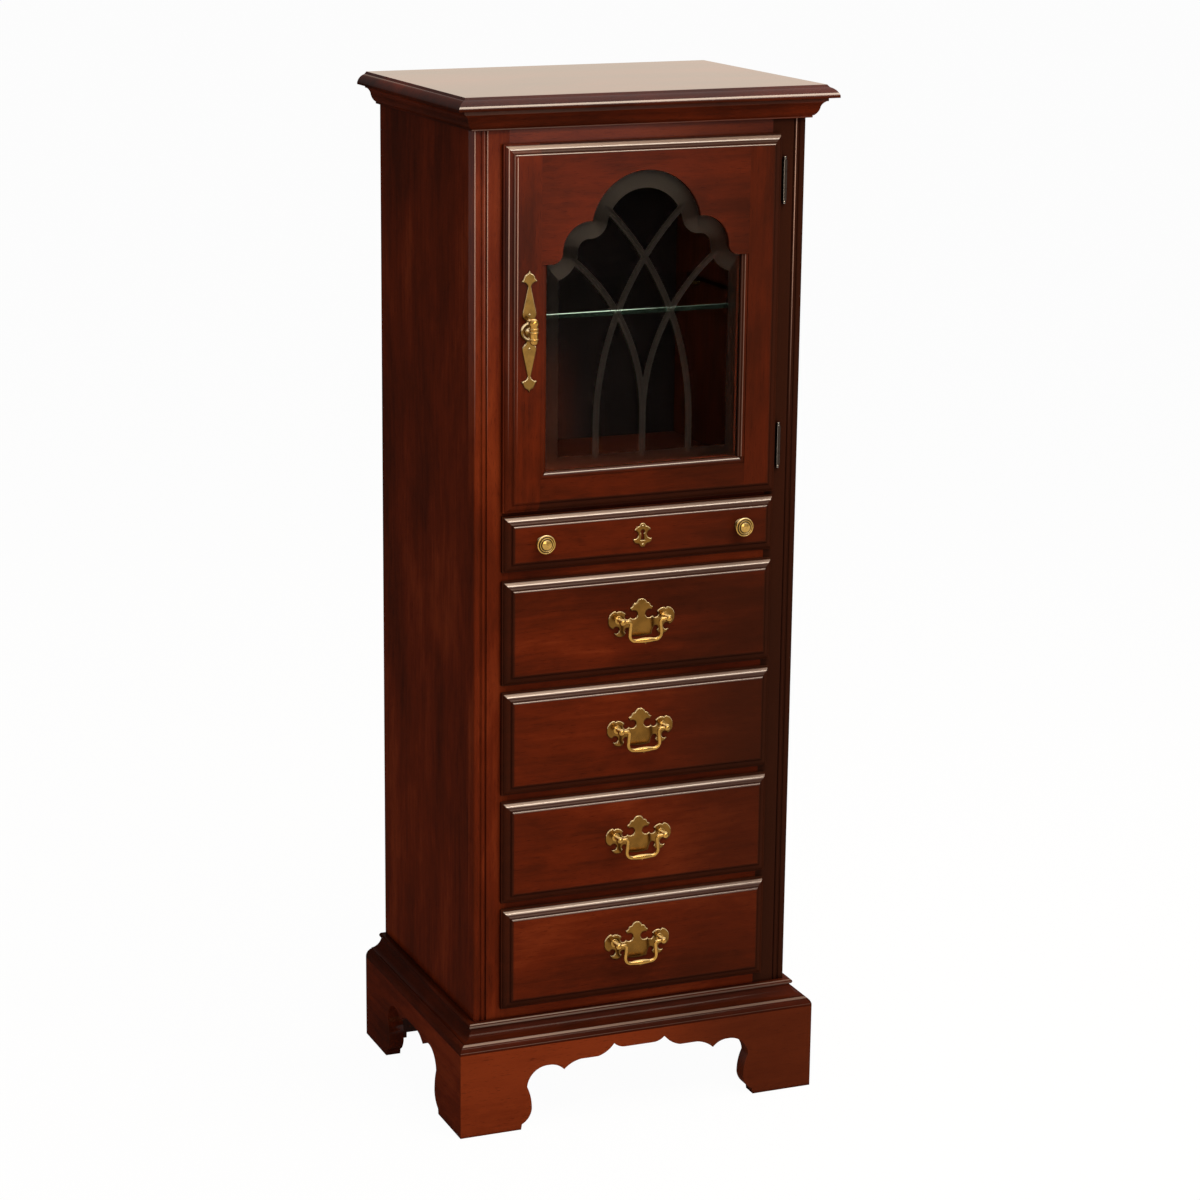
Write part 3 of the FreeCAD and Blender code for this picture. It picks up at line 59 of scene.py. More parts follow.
class Value:
    """A shader socket; sums and products of values add Math nodes."""

    def __init__(self, finish, socket):
        self.finish = finish
        self.socket = socket

    def math(self, operation, first, second):
        return self.finish.node("ShaderNodeMath", {"operation": operation}, {0: first, 1: second})

    def __add__(self, other):
        return self.math("ADD", self, other)

    def __radd__(self, other):
        return self.math("ADD", other, self)

    def __sub__(self, other):
        return self.math("SUBTRACT", self, other)

    def __rsub__(self, other):
        return self.math("SUBTRACT", other, self)

    def __mul__(self, other):
        return self.math("MULTIPLY", self, other)

    def __rmul__(self, other):
        return self.math("MULTIPLY", other, self)

    def __pow__(self, other):
        return self.math("POWER", self, other)

    def __abs__(self):
        return self.math("ABSOLUTE", self, 0.0)

    def __gt__(self, other):
        return self.math("GREATER_THAN", self, other)

    def least(self, other):
        return self.math("MINIMUM", self, other)

    def between(self, low, high):
        """0 below low, 1 above high, smooth in between."""
        settings = {"interpolation_type": "SMOOTHSTEP"}
        return self.finish.node("ShaderNodeMapRange", settings, {0: self, 1: low, 2: high, 3: 0.0, 4: 1.0})


class Finish:
    """A material and the nodes that make it."""

    def __init__(self, name):
        self.material = bpy.data.materials.new(name)
        self.material.use_nodes = True
        self.tree = self.material.node_tree
        self.tree.nodes.clear()
        self.output = self.tree.nodes.new("ShaderNodeOutputMaterial")

    def feed(self, socket, value):
        if isinstance(value, Value):
            self.tree.links.new(value.socket, socket)
        else:
            socket.default_value = value

    def node(self, kind, settings=None, inputs=None, out=0):
        """Adds a node: its settings first, then the values or links of its sockets."""
        node = self.tree.nodes.new(kind)
        for name, value in (settings or {}).items():
            if name == "stops":
                self.set_stops(node.color_ramp, value)
            else:
                setattr(node, name, value)
        for name, value in (inputs or {}).items():
            self.feed(node.inputs[name], value)
        return Value(self, node.outputs[out])

    def set_stops(self, ramp, stops):
        while len(ramp.elements) < len(stops):
            ramp.elements.new(1.0)
        for element, (place, colour) in zip(ramp.elements, stops):
            element.position = place
            element.color = (*colour, 1.0)

    def place(self):
        return self.node("ShaderNodeTexCoord", out=3)

    def facing(self):
        """The three parts of the way the surface faces, in the object's own axes."""
        return self.split(self.node("ShaderNodeTexCoord", out=1))

    def split(self, vector):
        node = self.tree.nodes.new("ShaderNodeSeparateXYZ")
        self.feed(node.inputs[0], vector)
        return [Value(self, out) for out in node.outputs]

    def join(self, x, y, z):
        return self.node("ShaderNodeCombineXYZ", None, {0: x, 1: y, 2: z})

    def noise(self, vector, scale, detail=2.0, roughness=0.5, distortion=0.0):
        return self.node("ShaderNodeTexNoise", None, {
            "Vector": vector, "Scale": scale, "Detail": detail,
            "Roughness": roughness, "Distortion": distortion})

    def mix(self, factor, first, second):
        return self.node("ShaderNodeMix", {"data_type": "RGBA"}, {0: factor, 6: first, 7: second}, out=2)

    def ramp(self, factor, stops):
        return self.node("ShaderNodeValToRGB", {"stops": stops}, {0: factor})

    def dark_corners(self, colour, dark, reach, span):
        """A colour that turns dark in quirks and corners, where the open share falls through the span; on
        wood this is painted shade.
        """
        share = self.node("ShaderNodeAmbientOcclusion", {"samples": EDGE_SAMPLES}, {"Distance": reach}, out=1)
        return self.mix(share.between(*span), dark, colour)

    def soft_edges(self, radius):
        return self.node("ShaderNodeBevel", {"samples": EDGE_SAMPLES}, {"Radius": radius})

    def in_object(self, normal):
        """The three parts of a normal, in the object's own axes."""
        settings = {"vector_type": "NORMAL", "convert_from": "WORLD", "convert_to": "OBJECT"}
        return self.split(self.node("ShaderNodeVectorTransform", settings, {0: normal}))

    def bump(self, height, strength, distance, normal=None):
        inputs = {"Strength": strength, "Distance": distance, "Height": height}
        if normal:
            inputs["Normal"] = normal
        return self.node("ShaderNodeBump", None, inputs)

    def show(self, shader):
        self.tree.links.new(shader.socket, self.output.inputs[0])
        return self.material

    def surface(self, inputs):
        return self.show(self.node("ShaderNodeBsdfPrincipled", None, inputs))


def rgb(red, green, blue):
    return (red, green, blue, 1.0)


# Wood

# Round the door and drawers, how far in the moulding ends and where its quirk lies
MOULDING_EDGE = (11 * MM, 15.5 * MM)
QUIRK_DEPTH = 10.4 * MM
QUIRK_EDGE = (0.3 * MM, 0.9 * MM)
# Heights between which the painted highlight lines and the sheen come in, and the edge of a painted highlight
# line
HIGHLIGHT_HEIGHTS = (0.85, 1.2)
LINE_EDGE = (0.2 * MM, 0.7 * MM)
# Painted highlight bands along the top of a lipped front: depth below its edge, half width and strength
RIM_BANDS = ((4.1 * MM, 2.0 * MM, 0.95), (9.2 * MM, 0.9 * MM, 0.22), (12.6 * MM, 0.6 * MM, 0.32))
# From left to right, a painted shade deepens across one span and the painted highlight bands fade across the
# other
RIGHT_SHADE_SPAN = (-50 * MM, 150 * MM)
FADE_SPAN = (-190 * MM, 120 * MM)
BAND_FADE = 0.55
# How much of a face's direction lies along an axis before it counts as turned that way
LEAN_UP = (0.08, 0.5)
LEAN_LEFT = (0.15, 0.5)
LEAN_FRONT = (0.1, 0.4)
LEAN_BACK = (0.3, 0.6)
LEAN_INNER = (0.4, 0.6)
SQUARE_ON = (0.93, 0.99)
# What a ledge loses of its polish and painted light where it leans to the left, and a face of its sheen under
# the painted shade on the right
LEFT_LOSS = 0.85
SHADE_SHEEN_LOSS = 0.7
# How strongly painted shade lies in a quirk
QUIRK_SHARE = 0.6
# Reach of the dark in corners, painted shade on wood and waxed hollows on brass, and the open shares between
# which it clears
LACQUER_CORNERS = (9 * MM, (0.1, 0.8))
BARE_CORNERS = (8 * MM, (0.0, 0.6))
BRASS_CORNERS = (3 * MM, (0.1, 0.65))
# Round of the arrises and height of the grain's relief
LACQUERED_ARRIS = 0.6 * MM
PLANED_ARRIS = 0.5 * MM
RELIEF = 0.2 * MM

LACQUER_STOPS = (
    (0.0, (0.018, 0.0042, 0.0018)),
    (0.35, (0.048, 0.0078, 0.0026)),
    (0.65, (0.090, 0.0122, 0.0033)),
    (1.0, (0.160, 0.0260, 0.0068)),
)
BARE_STOPS = (
    (0.0, (0.30, 0.17, 0.075)),
    (0.5, (0.45, 0.29, 0.145)),
    (1.0, (0.57, 0.40, 0.23)),
)
STAINED_STOPS = (
    (0.0, (0.017, 0.0038, 0.0018)),
    (0.5, (0.040, 0.0090, 0.0040)),
    (1.0, (0.076, 0.0170, 0.0072)),
)
BACK_STOPS = (
    (0.0, (0.003, 0.0016, 0.0012)),
    (0.5, (0.007, 0.0034, 0.0024)),
    (1.0, (0.014, 0.0060, 0.0042)),
)
PLY_STOPS = (
    (0.0, (0.11, 0.050, 0.022)),
    (0.5, (0.17, 0.085, 0.040)),
    (1.0, (0.24, 0.130, 0.066)),
)
PORE_DARK = rgb(0.012, 0.0022, 0.0012)
# Painted shade for quirks, glazing with painted shade for slopes, painted light for ledges facing up, painted
# highlights for ledge bands and arrises
QUIRK_SHADE = rgb(0.005, 0.0012, 0.0008)
GLAZING_AND_SHADE = rgb(0.023, 0.0068, 0.0034)
LEDGE_LIT = rgb(0.048, 0.017, 0.009)
LEDGE_HIGHLIGHT = rgb(0.38, 0.29, 0.24)
ARRIS_HIGHLIGHT = rgb(0.45, 0.28, 0.22)

# Layers of the figure: stretch along and across the grain, scale, detail, roughness and distortion
SWAY = (2.2, 4, 1.0)
BAND = (1.4, 16, 1.5, 3.0, 0.55, 0.4)
STREAK = (6, 150, 1.2, 4.0, 0.62, 0.2)
MOTTLE = (22, 75, 1.0, 3.0, 0.6, 0.5)
CLOUD = (4, 9, 1.0, 2.0, 0.5, 0.7)
PORES = (80, 1400, 1.0, 1.0)
SWAY_WIDTH = 0.03
PORE_SPAN = (0.62, 0.74)
PORE_DEPTH = 0.5
# Shares of the layers in the light and dark of a board
BAND_SHARE = 0.32
STREAK_SHARE = 0.28
MOTTLE_SHARE = 0.32
CLOUD_SHARE = 0.68
# The layers' mean, and what brings it to the middle of a plain board's colours
MEAN_SHADE = 0.8
PLAIN_SHADE = 0.3
# How far apart in one pattern the boards are cut
BOARD_STEP = 3.7


def along_grain(finish, grain):
    """Object coordinates turned so that the first one runs along the grain."""
    x, y, z = finish.split(finish.place())
    if grain == "x":
        return x, y, z
    if grain == "y":
        return y, x, z
    if grain == "z":
        return z, x, y
    # Mitred lengths: x along the front, y along the sides
    side = (abs(x) - CASE_HALF) > (FACE_Y - y)
    run = side * y + (1 - side) * x
    across = side * x + (1 - side) * y
    return run, across, z


def grain_layer(finish, spot, shift, along, across, *noise):
    """Noise drawn out along the grain."""
    run, side, depth = spot
    return finish.noise(finish.join(run * along + shift, side * across, depth * across), *noise)


def figure(finish, grain, seed):
    """Light and dark of the grain, its open pores and its fine streaks."""
    run, side, depth = along_grain(finish, grain)
    shift = seed * BOARD_STEP
    sway = grain_layer(finish, (run, side, depth), shift, *SWAY) * SWAY_WIDTH
    spot = run, side + sway, depth + sway
    layers = [grain_layer(finish, spot, shift, *layer) for layer in (BAND, STREAK, MOTTLE, CLOUD, PORES)]
    band, streak, mottle, cloud, pores = layers
    shade = band * BAND_SHARE + streak * STREAK_SHARE + mottle * MOTTLE_SHARE + cloud * CLOUD_SHARE
    return shade, pores.between(*PORE_SPAN), streak


def rim_distance(finish, rim):
    """How far in from the lip's edge, on a lipped front."""
    low, high = rim
    x, _, z = finish.split(finish.place())
    return (x - low.x).least(high.x - x).least((z - low.z).least(high.z - z))


def highlight_lines(finish, lines, span, rim=None):
    """Painted highlight lines along upright arrises, fading out downwards across a span of heights."""
    x, _, z = finish.split(finish.place())
    marks = sum((1 - abs(x - place).between(*LINE_EDGE)) * strength for place, strength in lines)
    if rim:
        low, high = rim
        marks = marks * ((high.z - z) > (x - low.x).least(high.x - x))
    return marks * z.between(*span)


def highlight_bands(finish, bands, rim=None):
    """Painted highlights on level edges of the front that face the light: height, half width, strength."""
    x, _, z = finish.split(finish.place())
    marks = sum((1 - abs(z - height).between(half * 0.7, half * 1.2)) * strength
                for height, half, strength in bands)
    marks = marks * (1 - x.between(*FADE_SPAN) * BAND_FADE)
    if rim:
        low, high = rim
        marks = marks * ((x - low.x).least(high.x - x) > (high.z - z))
    return marks * (0 - finish.facing()[1]).between(*LEAN_FRONT)


def lacquered(name, grain, seed, tone=0.5, inner=None, rim=None, rim_glazing_and_shade=0.8, right_shade=0.0, sheen=0.0,
              polish=0.8, lines=(), line_span=HIGHLIGHT_HEIGHTS, bands=()):
    """Stained, glazed and lacquered cherry: painted shade in the quirks, painted light and highlights on
    ledges and arrises, polished on top.
    """
    finish = Finish(name)
    shade, pores, streak = figure(finish, grain, seed)
    facing = finish.facing()
    x, _, z = finish.split(finish.place())
    right_shade_mask = x.between(*RIGHT_SHADE_SPAN)
    outside = 1 - facing[1].between(*LEAN_BACK)
    upward = facing[2].between(*LEAN_UP) * (1 - (0 - facing[0]).between(*LEAN_LEFT) * LEFT_LOSS)
    colour = finish.ramp((shade + (tone - MEAN_SHADE)).between(0.0, 1.0), LACQUER_STOPS)
    colour = finish.mix(pores * PORE_DEPTH, colour, PORE_DARK)
    # Painted shade, darker towards the right
    if right_shade:
        colour = finish.mix(right_shade_mask * right_shade, colour, GLAZING_AND_SHADE)
    if rim:
        depth = rim_distance(finish, rim)
        flat = abs(facing[1]).between(*SQUARE_ON)
        moulding = outside * (1 - depth.between(*MOULDING_EDGE) * flat)
        quirk = outside * (1 - abs(depth - QUIRK_DEPTH).between(*QUIRK_EDGE))
        # Glazing and painted shade on the moulded slopes, painted light on those that face up, painted shade
        # in the quirk
        colour = finish.mix(moulding * rim_glazing_and_shade, colour, GLAZING_AND_SHADE)
        colour = finish.mix(moulding * upward, colour, LEDGE_LIT)
        colour = finish.mix(quirk * rim_glazing_and_shade * QUIRK_SHARE, colour, QUIRK_SHADE)
        bands = [(rim[1].z - below, half, strength) for below, half, strength in RIM_BANDS]
    # Painted highlight bands
    if bands:
        colour = finish.mix(highlight_bands(finish, bands, rim), colour, LEDGE_HIGHLIGHT)
    # Painted highlight lines along the arrises
    if lines:
        colour = finish.mix(outside * highlight_lines(finish, lines, line_span, rim), colour, ARRIS_HIGHLIGHT)
    if inner:
        # The face turned inwards was left plainer
        axis, way, stops = inner
        plain = finish.ramp((shade - PLAIN_SHADE).between(0.0, 1.0), stops)
        colour = finish.mix((facing[axis] * way).between(*LEAN_INNER), colour, plain)
    # Painted shade in quirks and corners
    colour = finish.dark_corners(colour, QUIRK_SHADE, *LACQUER_CORNERS)
    sheen = z.between(*HIGHLIGHT_HEIGHTS) * (1 - right_shade_mask * SHADE_SHEEN_LOSS) * sheen
    return finish.surface({
        "Base Color": colour,
        "Roughness": 0.34 + streak * 0.1 + pores * 0.1,
        "Specular IOR Level": 0.0,
        "Coat Weight": 0.008 + sheen + upward * polish,
        "Coat Roughness": 0.08,
        "Coat IOR": 1.8,
        "Normal": finish.bump(streak * 0.4 - pores, 0.1, RELIEF, finish.soft_edges(LACQUERED_ARRIS)),
    })


def bare(name, grain, seed, stops, rear=None, lit_low_left=None):
    """Planed boards that were only sealed, or stained where they show through the glass; painted shade
    darkens their corners.
    """
    finish = Finish(name)
    shade, pores, streak = figure(finish, grain, seed)
    light = (shade - PLAIN_SHADE).between(0.0, 1.0)
    colour = finish.ramp(light, stops)
    if lit_low_left:
        # Painted light: the board is lighter low down on the left
        x_span, z_span, lit_stops = lit_low_left
        x, _, z = finish.split(finish.place())
        share = (1 - x.between(*x_span)) * (1 - z.between(*z_span))
        colour = finish.mix(share, colour, finish.ramp(light, lit_stops))
    if rear:
        colour = finish.mix(finish.facing()[1].between(*LEAN_INNER), colour, finish.ramp(light, rear))
    dark = rgb(*(part * 0.4 for part in stops[0][1]))
    colour = finish.mix(pores * PORE_DEPTH, colour, dark)
    # Painted shade in the corners
    colour = finish.dark_corners(colour, dark, *BARE_CORNERS)
    return finish.surface({
        "Base Color": colour,
        "Roughness": 0.55 + streak * 0.15,
        "Specular IOR Level": 0.1,
        "Normal": finish.bump(streak * 0.5 - pores, 0.25, RELIEF, finish.soft_edges(PLANED_ARRIS)),
    })


# Metal, glass and plastic

# Dull patches, specks, grain, haze and streaks: scale, detail, roughness and distortion
DULL_PATCHES = (70.0, 4.0, 0.6, 0.3)
BRASS_SPECKS = (520.0, 3.0, 0.65)
BRONZE_SPECKS = (420.0, 3.0, 0.6)
ZINC_SPECKS = (900.0, 3.0, 0.7)
PLASTIC_GRAIN = (1400.0, 2.0, 0.6)
GLASS_HAZE = (30.0, 3.0, 0.6)
ARRIS_STREAKS = (40.0, 2.0, 0.5)
# Brass beside its own colour: wax and dull patches; then the painted shade below and the paleness of the
# painted highlight on upper edges
WAX_SHADE = 0.12
DULL_SHADE = 0.7
UNDER_SHADE = 0.8
HIGHLIGHT_PALE = 0.6
BRONZE_DARK = rgb(0.030, 0.020, 0.014)
BRONZE_BROWN = rgb(0.060, 0.042, 0.030)
BRONZE_HIGHLIGHT = rgb(0.32, 0.29, 0.25)
ZINC_DARK = rgb(0.42, 0.42, 0.43)
ZINC_PALE = rgb(0.62, 0.62, 0.62)
# Which way the painted highlight line on a hinge barrel faces, left of straight ahead, and how far round it
# fades
BARREL_LINE = 0.55
BARREL_FADE = (0.02, 0.1)
# From the dark middle of a turned groove to where the brass is bright again
GROOVE_EDGE = (0.5 * MM, 1.1 * MM)

PANE_TINT = rgb(0.94, 0.95, 0.94)
SHELF_TINT = rgb(0.93, 0.96, 0.94)
GROUND_DARK = rgb(0.15, 0.125, 0.10)
GROUND_PALE = rgb(0.22, 0.19, 0.16)
SAWN_GREEN = rgb(0.004, 0.007, 0.005)
ARRIS_GREEN = rgb(0.36, 0.52, 0.42)
ARRIS_PALE = rgb(0.56, 0.72, 0.62)
PLASTIC_DARK = rgb(0.030, 0.014, 0.008)
PLASTIC_BROWN = rgb(0.045, 0.022, 0.012)
BARELY_BENT = 1.001
FROST = 0.35
# Tilts at which the pane's bevel, its engraved lines and an upward cut begin
BEVEL_TILT = (0.0006, 0.002)
ENGRAVED_TILT = (0.008, 0.02)
UPWARD_TILT = (0.0, 0.07)
# Share of grey glass: a painted light on the bevel, more where the bevel tilts upwards, and ground glass in
# the engraved lines
BEVEL_CATCH = 0.02
TILTED_CATCH = 0.12
ENGRAVED_CATCH = 0.055
# Places from left to right across which the light on the bevel and on the shelf's edge fades, and its loss
BEVEL_FADE = (20 * MM, 110 * MM)
BEVEL_LOSS = 0.55
SHELF_FADE = (-20 * MM, 60 * MM)
SHELF_LOSS = 0.9
# The shelf's front edge: depth of its colour, how opaque it is, and the arris as depths below the top
EDGE_SKIN = (0.2 * MM, 0.5 * MM)
EDGE_SHARE = 0.92
ARRIS_FOOT = 0.9 * MM
ARRIS_HEAD = 0.6 * MM
# How nearly level a face of the shelf is before it counts as one of its two broad faces
LEAN_LEVEL = (0.3, 0.6)


def brass(name, body, highlight, shine, satin, round_over=0.9 * MM, light_span=(0.05, 0.3), grooves=None):
    """Cast brass: dulled faces, a painted highlight on upper edges, painted shade below, and waxed dark in
    the hollows.
    """
    finish = Finish(name)
    place = finish.place()
    wax_and_shade = rgb(*(part * WAX_SHADE for part in body))
    dull = finish.noise(place, *DULL_PATCHES).between(0.3, 0.7)
    speck = finish.noise(place, *BRASS_SPECKS)
    softened = finish.soft_edges(round_over)
    rise = finish.in_object(softened)[2]
    # Painted highlight on edges that face up, painted shade on those that face down
    lit_edges = rise.between(*light_span)
    shaded_under = (0 - rise).between(*light_span)
    colour = finish.mix(dull, rgb(*body), rgb(*(part * DULL_SHADE for part in body)))
    colour = finish.mix(lit_edges, colour, rgb(*highlight))
    colour = finish.mix(shaded_under * UNDER_SHADE, colour, wax_and_shade)
    colour = finish.dark_corners(colour, wax_and_shade, *BRASS_CORNERS)
    if grooves:
        axis_x, axis_z, radii = grooves
        x, _, z = finish.split(place)
        radius = ((abs(x) - axis_x) ** 2.0 + (z - axis_z) ** 2.0) ** 0.5
        for groove in radii:
            colour = finish.mix(abs(radius - groove).between(*GROOVE_EDGE), wax_and_shade, colour)
    return finish.surface({
        "Base Color": colour,
        "Metallic": 1 - satin - lit_edges * HIGHLIGHT_PALE,
        "Roughness": shine + dull * 0.08 + speck * 0.05,
        "Normal": finish.bump(speck, 0.05, RELIEF, softened),
    })


def hinge_bronze():
    """Dark patinated hinges, with a painted highlight in a line down the front of each barrel and at its
    tips.
    """
    finish = Finish("dark_bronze")
    speck = finish.noise(finish.place(), *BRONZE_SPECKS)
    sideways, _, upward = finish.facing()
    # Painted highlight
    line = 1 - abs(sideways + BARREL_LINE).between(*BARREL_FADE)
    tip = abs(upward).between(0.2, 0.5) * (1 - abs(upward).between(0.9, 0.98))
    patina = finish.mix(speck, BRONZE_DARK, BRONZE_BROWN)
    return finish.surface({
        "Base Color": finish.mix((line * 0.5 + tip).least(1.0), patina, BRONZE_HIGHLIGHT),
        "Metallic": 1.0,
        "Roughness": 0.16 + speck * 0.1,
        "Normal": finish.bump(speck, 0.06, RELIEF),
    })


def clear_glass(finish, tint, frost=0.0):
    """Glass that lets light through almost unbent, so that it mirrors nothing of the lamps."""
    clear = finish.node("ShaderNodeBsdfPrincipled", None, {
        "Base Color": tint, "Roughness": frost, "IOR": BARELY_BENT, "Transmission Weight": 1.0})
    shadow = finish.node("ShaderNodeLightPath", out=1)
    see_through = finish.node("ShaderNodeBsdfTransparent", None, {"Color": tint})
    return finish.node("ShaderNodeMixShader", None, {0: shadow, 1: clear, 2: see_through})


def door_pane():
    """Clear pane with a frosted bevel and grey ground engraved lines; the grey on the bevel is a painted
    light, most where it tilts upwards.
    """
    finish = Finish("bevelled_pane_glass")
    _, forward, upward = finish.facing()
    left = 1 - finish.split(finish.place())[0].between(*BEVEL_FADE) * BEVEL_LOSS
    tilt = 1 - abs(forward)
    cut = tilt.between(*BEVEL_TILT)
    engraved = tilt.between(*ENGRAVED_TILT)
    glass = clear_glass(finish, PANE_TINT, cut * FROST)
    haze = finish.noise(finish.place(), *GLASS_HAZE)
    ground = finish.node("ShaderNodeBsdfPrincipled", None, {
        "Base Color": finish.mix(haze, GROUND_DARK, GROUND_PALE),
        "Roughness": 0.3,
        "Specular IOR Level": 0.3,
    })
    # Painted light on the bevel, strongest where it tilts upwards on the left
    bevel = BEVEL_CATCH + upward.between(*UPWARD_TILT) * left * TILTED_CATCH
    catch = cut * (1 - engraved) * bevel + engraved * ENGRAVED_CATCH
    return finish.show(finish.node("ShaderNodeMixShader", None, {0: catch, 1: glass, 2: ground}))


def shelf_glass():
    """Float glass with a dark green edge at the front, and a painted highlight along its polished upper
    arris.
    """
    finish = Finish("float_shelf_glass")
    clear = clear_glass(finish, SHELF_TINT)
    low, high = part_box("glass_shelf")
    x, y, height = finish.split(finish.place())
    front = 1 - (y - low.y).between(*EDGE_SKIN)
    edge = 1 - abs(finish.facing()[2]).between(*LEAN_LEVEL)
    # Painted highlight along the front arris, fading towards the right
    arris = front * height.between(high.z - ARRIS_FOOT, high.z - ARRIS_HEAD)
    bright = arris * (1 - x.between(*SHELF_FADE) * SHELF_LOSS)
    streak = finish.noise(finish.place(), *ARRIS_STREAKS)
    polished = finish.mix(streak, ARRIS_GREEN, ARRIS_PALE)
    sawn = finish.node("ShaderNodeBsdfPrincipled", None, {
        "Base Color": finish.mix(bright, SAWN_GREEN, polished),
        "Roughness": 0.3,
        "Specular IOR Level": 0.02,
    })
    unseen = finish.node("ShaderNodeBsdfTransparent", None, {"Color": SHELF_TINT})
    sheet = finish.node("ShaderNodeMixShader", None, {0: edge, 1: clear, 2: unseen})
    return finish.show(finish.node("ShaderNodeMixShader", None, {0: front * EDGE_SHARE, 1: sheet, 2: sawn}))


def zinc_steel():
    finish = Finish("zinc_plated_steel")
    grain = finish.noise(finish.place(), *ZINC_SPECKS)
    return finish.surface({
        "Base Color": finish.mix(grain, ZINC_DARK, ZINC_PALE),
        "Metallic": 1.0,
        "Roughness": 0.32 + grain * 0.15,
    })


def brown_plastic():
    finish = Finish("brown_moulded_plastic")
    grain = finish.noise(finish.place(), *PLASTIC_GRAIN)
    return finish.surface({
        "Base Color": finish.mix(grain, PLASTIC_DARK, PLASTIC_BROWN),
        "Roughness": 0.45 + grain * 0.1,
        "Normal": finish.bump(grain, 0.2, 0.1 * MM),
    })


# Nails, pins and screws, set by Geometry Nodes

# A screw's slot as multiples of its head's radius: the size of the cut and the place of its middle
SLOT_SIZE = (3.0, 0.34, 1.2)
SLOT_PLACE = (0.0, 0.0, 1.2)
# Radius and rise of each kind of head
NAIL_HEAD = (2.4 * MM, 0.6 * MM)
ESCUTCHEON_PIN = (1.3 * MM, 0.8 * MM)
PULL_PIN = (1.4 * MM, 0.6 * MM)
CASE_SCREW = (2.6 * MM, 0.5 * MM)
DOOR_SCREW = (2.2 * MM, 0.15 * MM)
STRIKE_SCREW = (2.0 * MM, 0.2 * MM)
# Steps from the middle of a fitting to the pins or screws at both sides of it
ESCUTCHEON_PIN_STEP = 11.6 * MM
PULL_PIN_STEP = 20.5 * MM
CASE_SCREW_STEP = 17.4 * MM
DOOR_SCREW_STEP = 5 * MM
STRIKE_SCREW_STEP = 11 * MM
# Half a hinge's height, and where its screws sit: behind the case's front and in from the door's edge
HALF_HINGE = 24.5 * MM
CASE_SCREW_DEPTH = 10.8 * MM
DOOR_SCREW_INSET = 5.5 * MM
# How far the hinge leaf on the door stands ahead of the case, and the pull's plate ahead of the door
LEAF_GAP = 0.3 * MM
PULL_PLATE = 1.6 * MM
# Nails round the back: inset from its edge, and how many up each side and along top and bottom
NAIL_INSET = 5 * MM
NAILS_UP = 10
NAILS_ALONG = 3

LEFT = (-1, 0, 0)
FRONT = (0, -1, 0)
REAR = (0, 1, 0)
UP = Vector((0, 0, 1))
ACROSS = Vector((1, 0, 0))


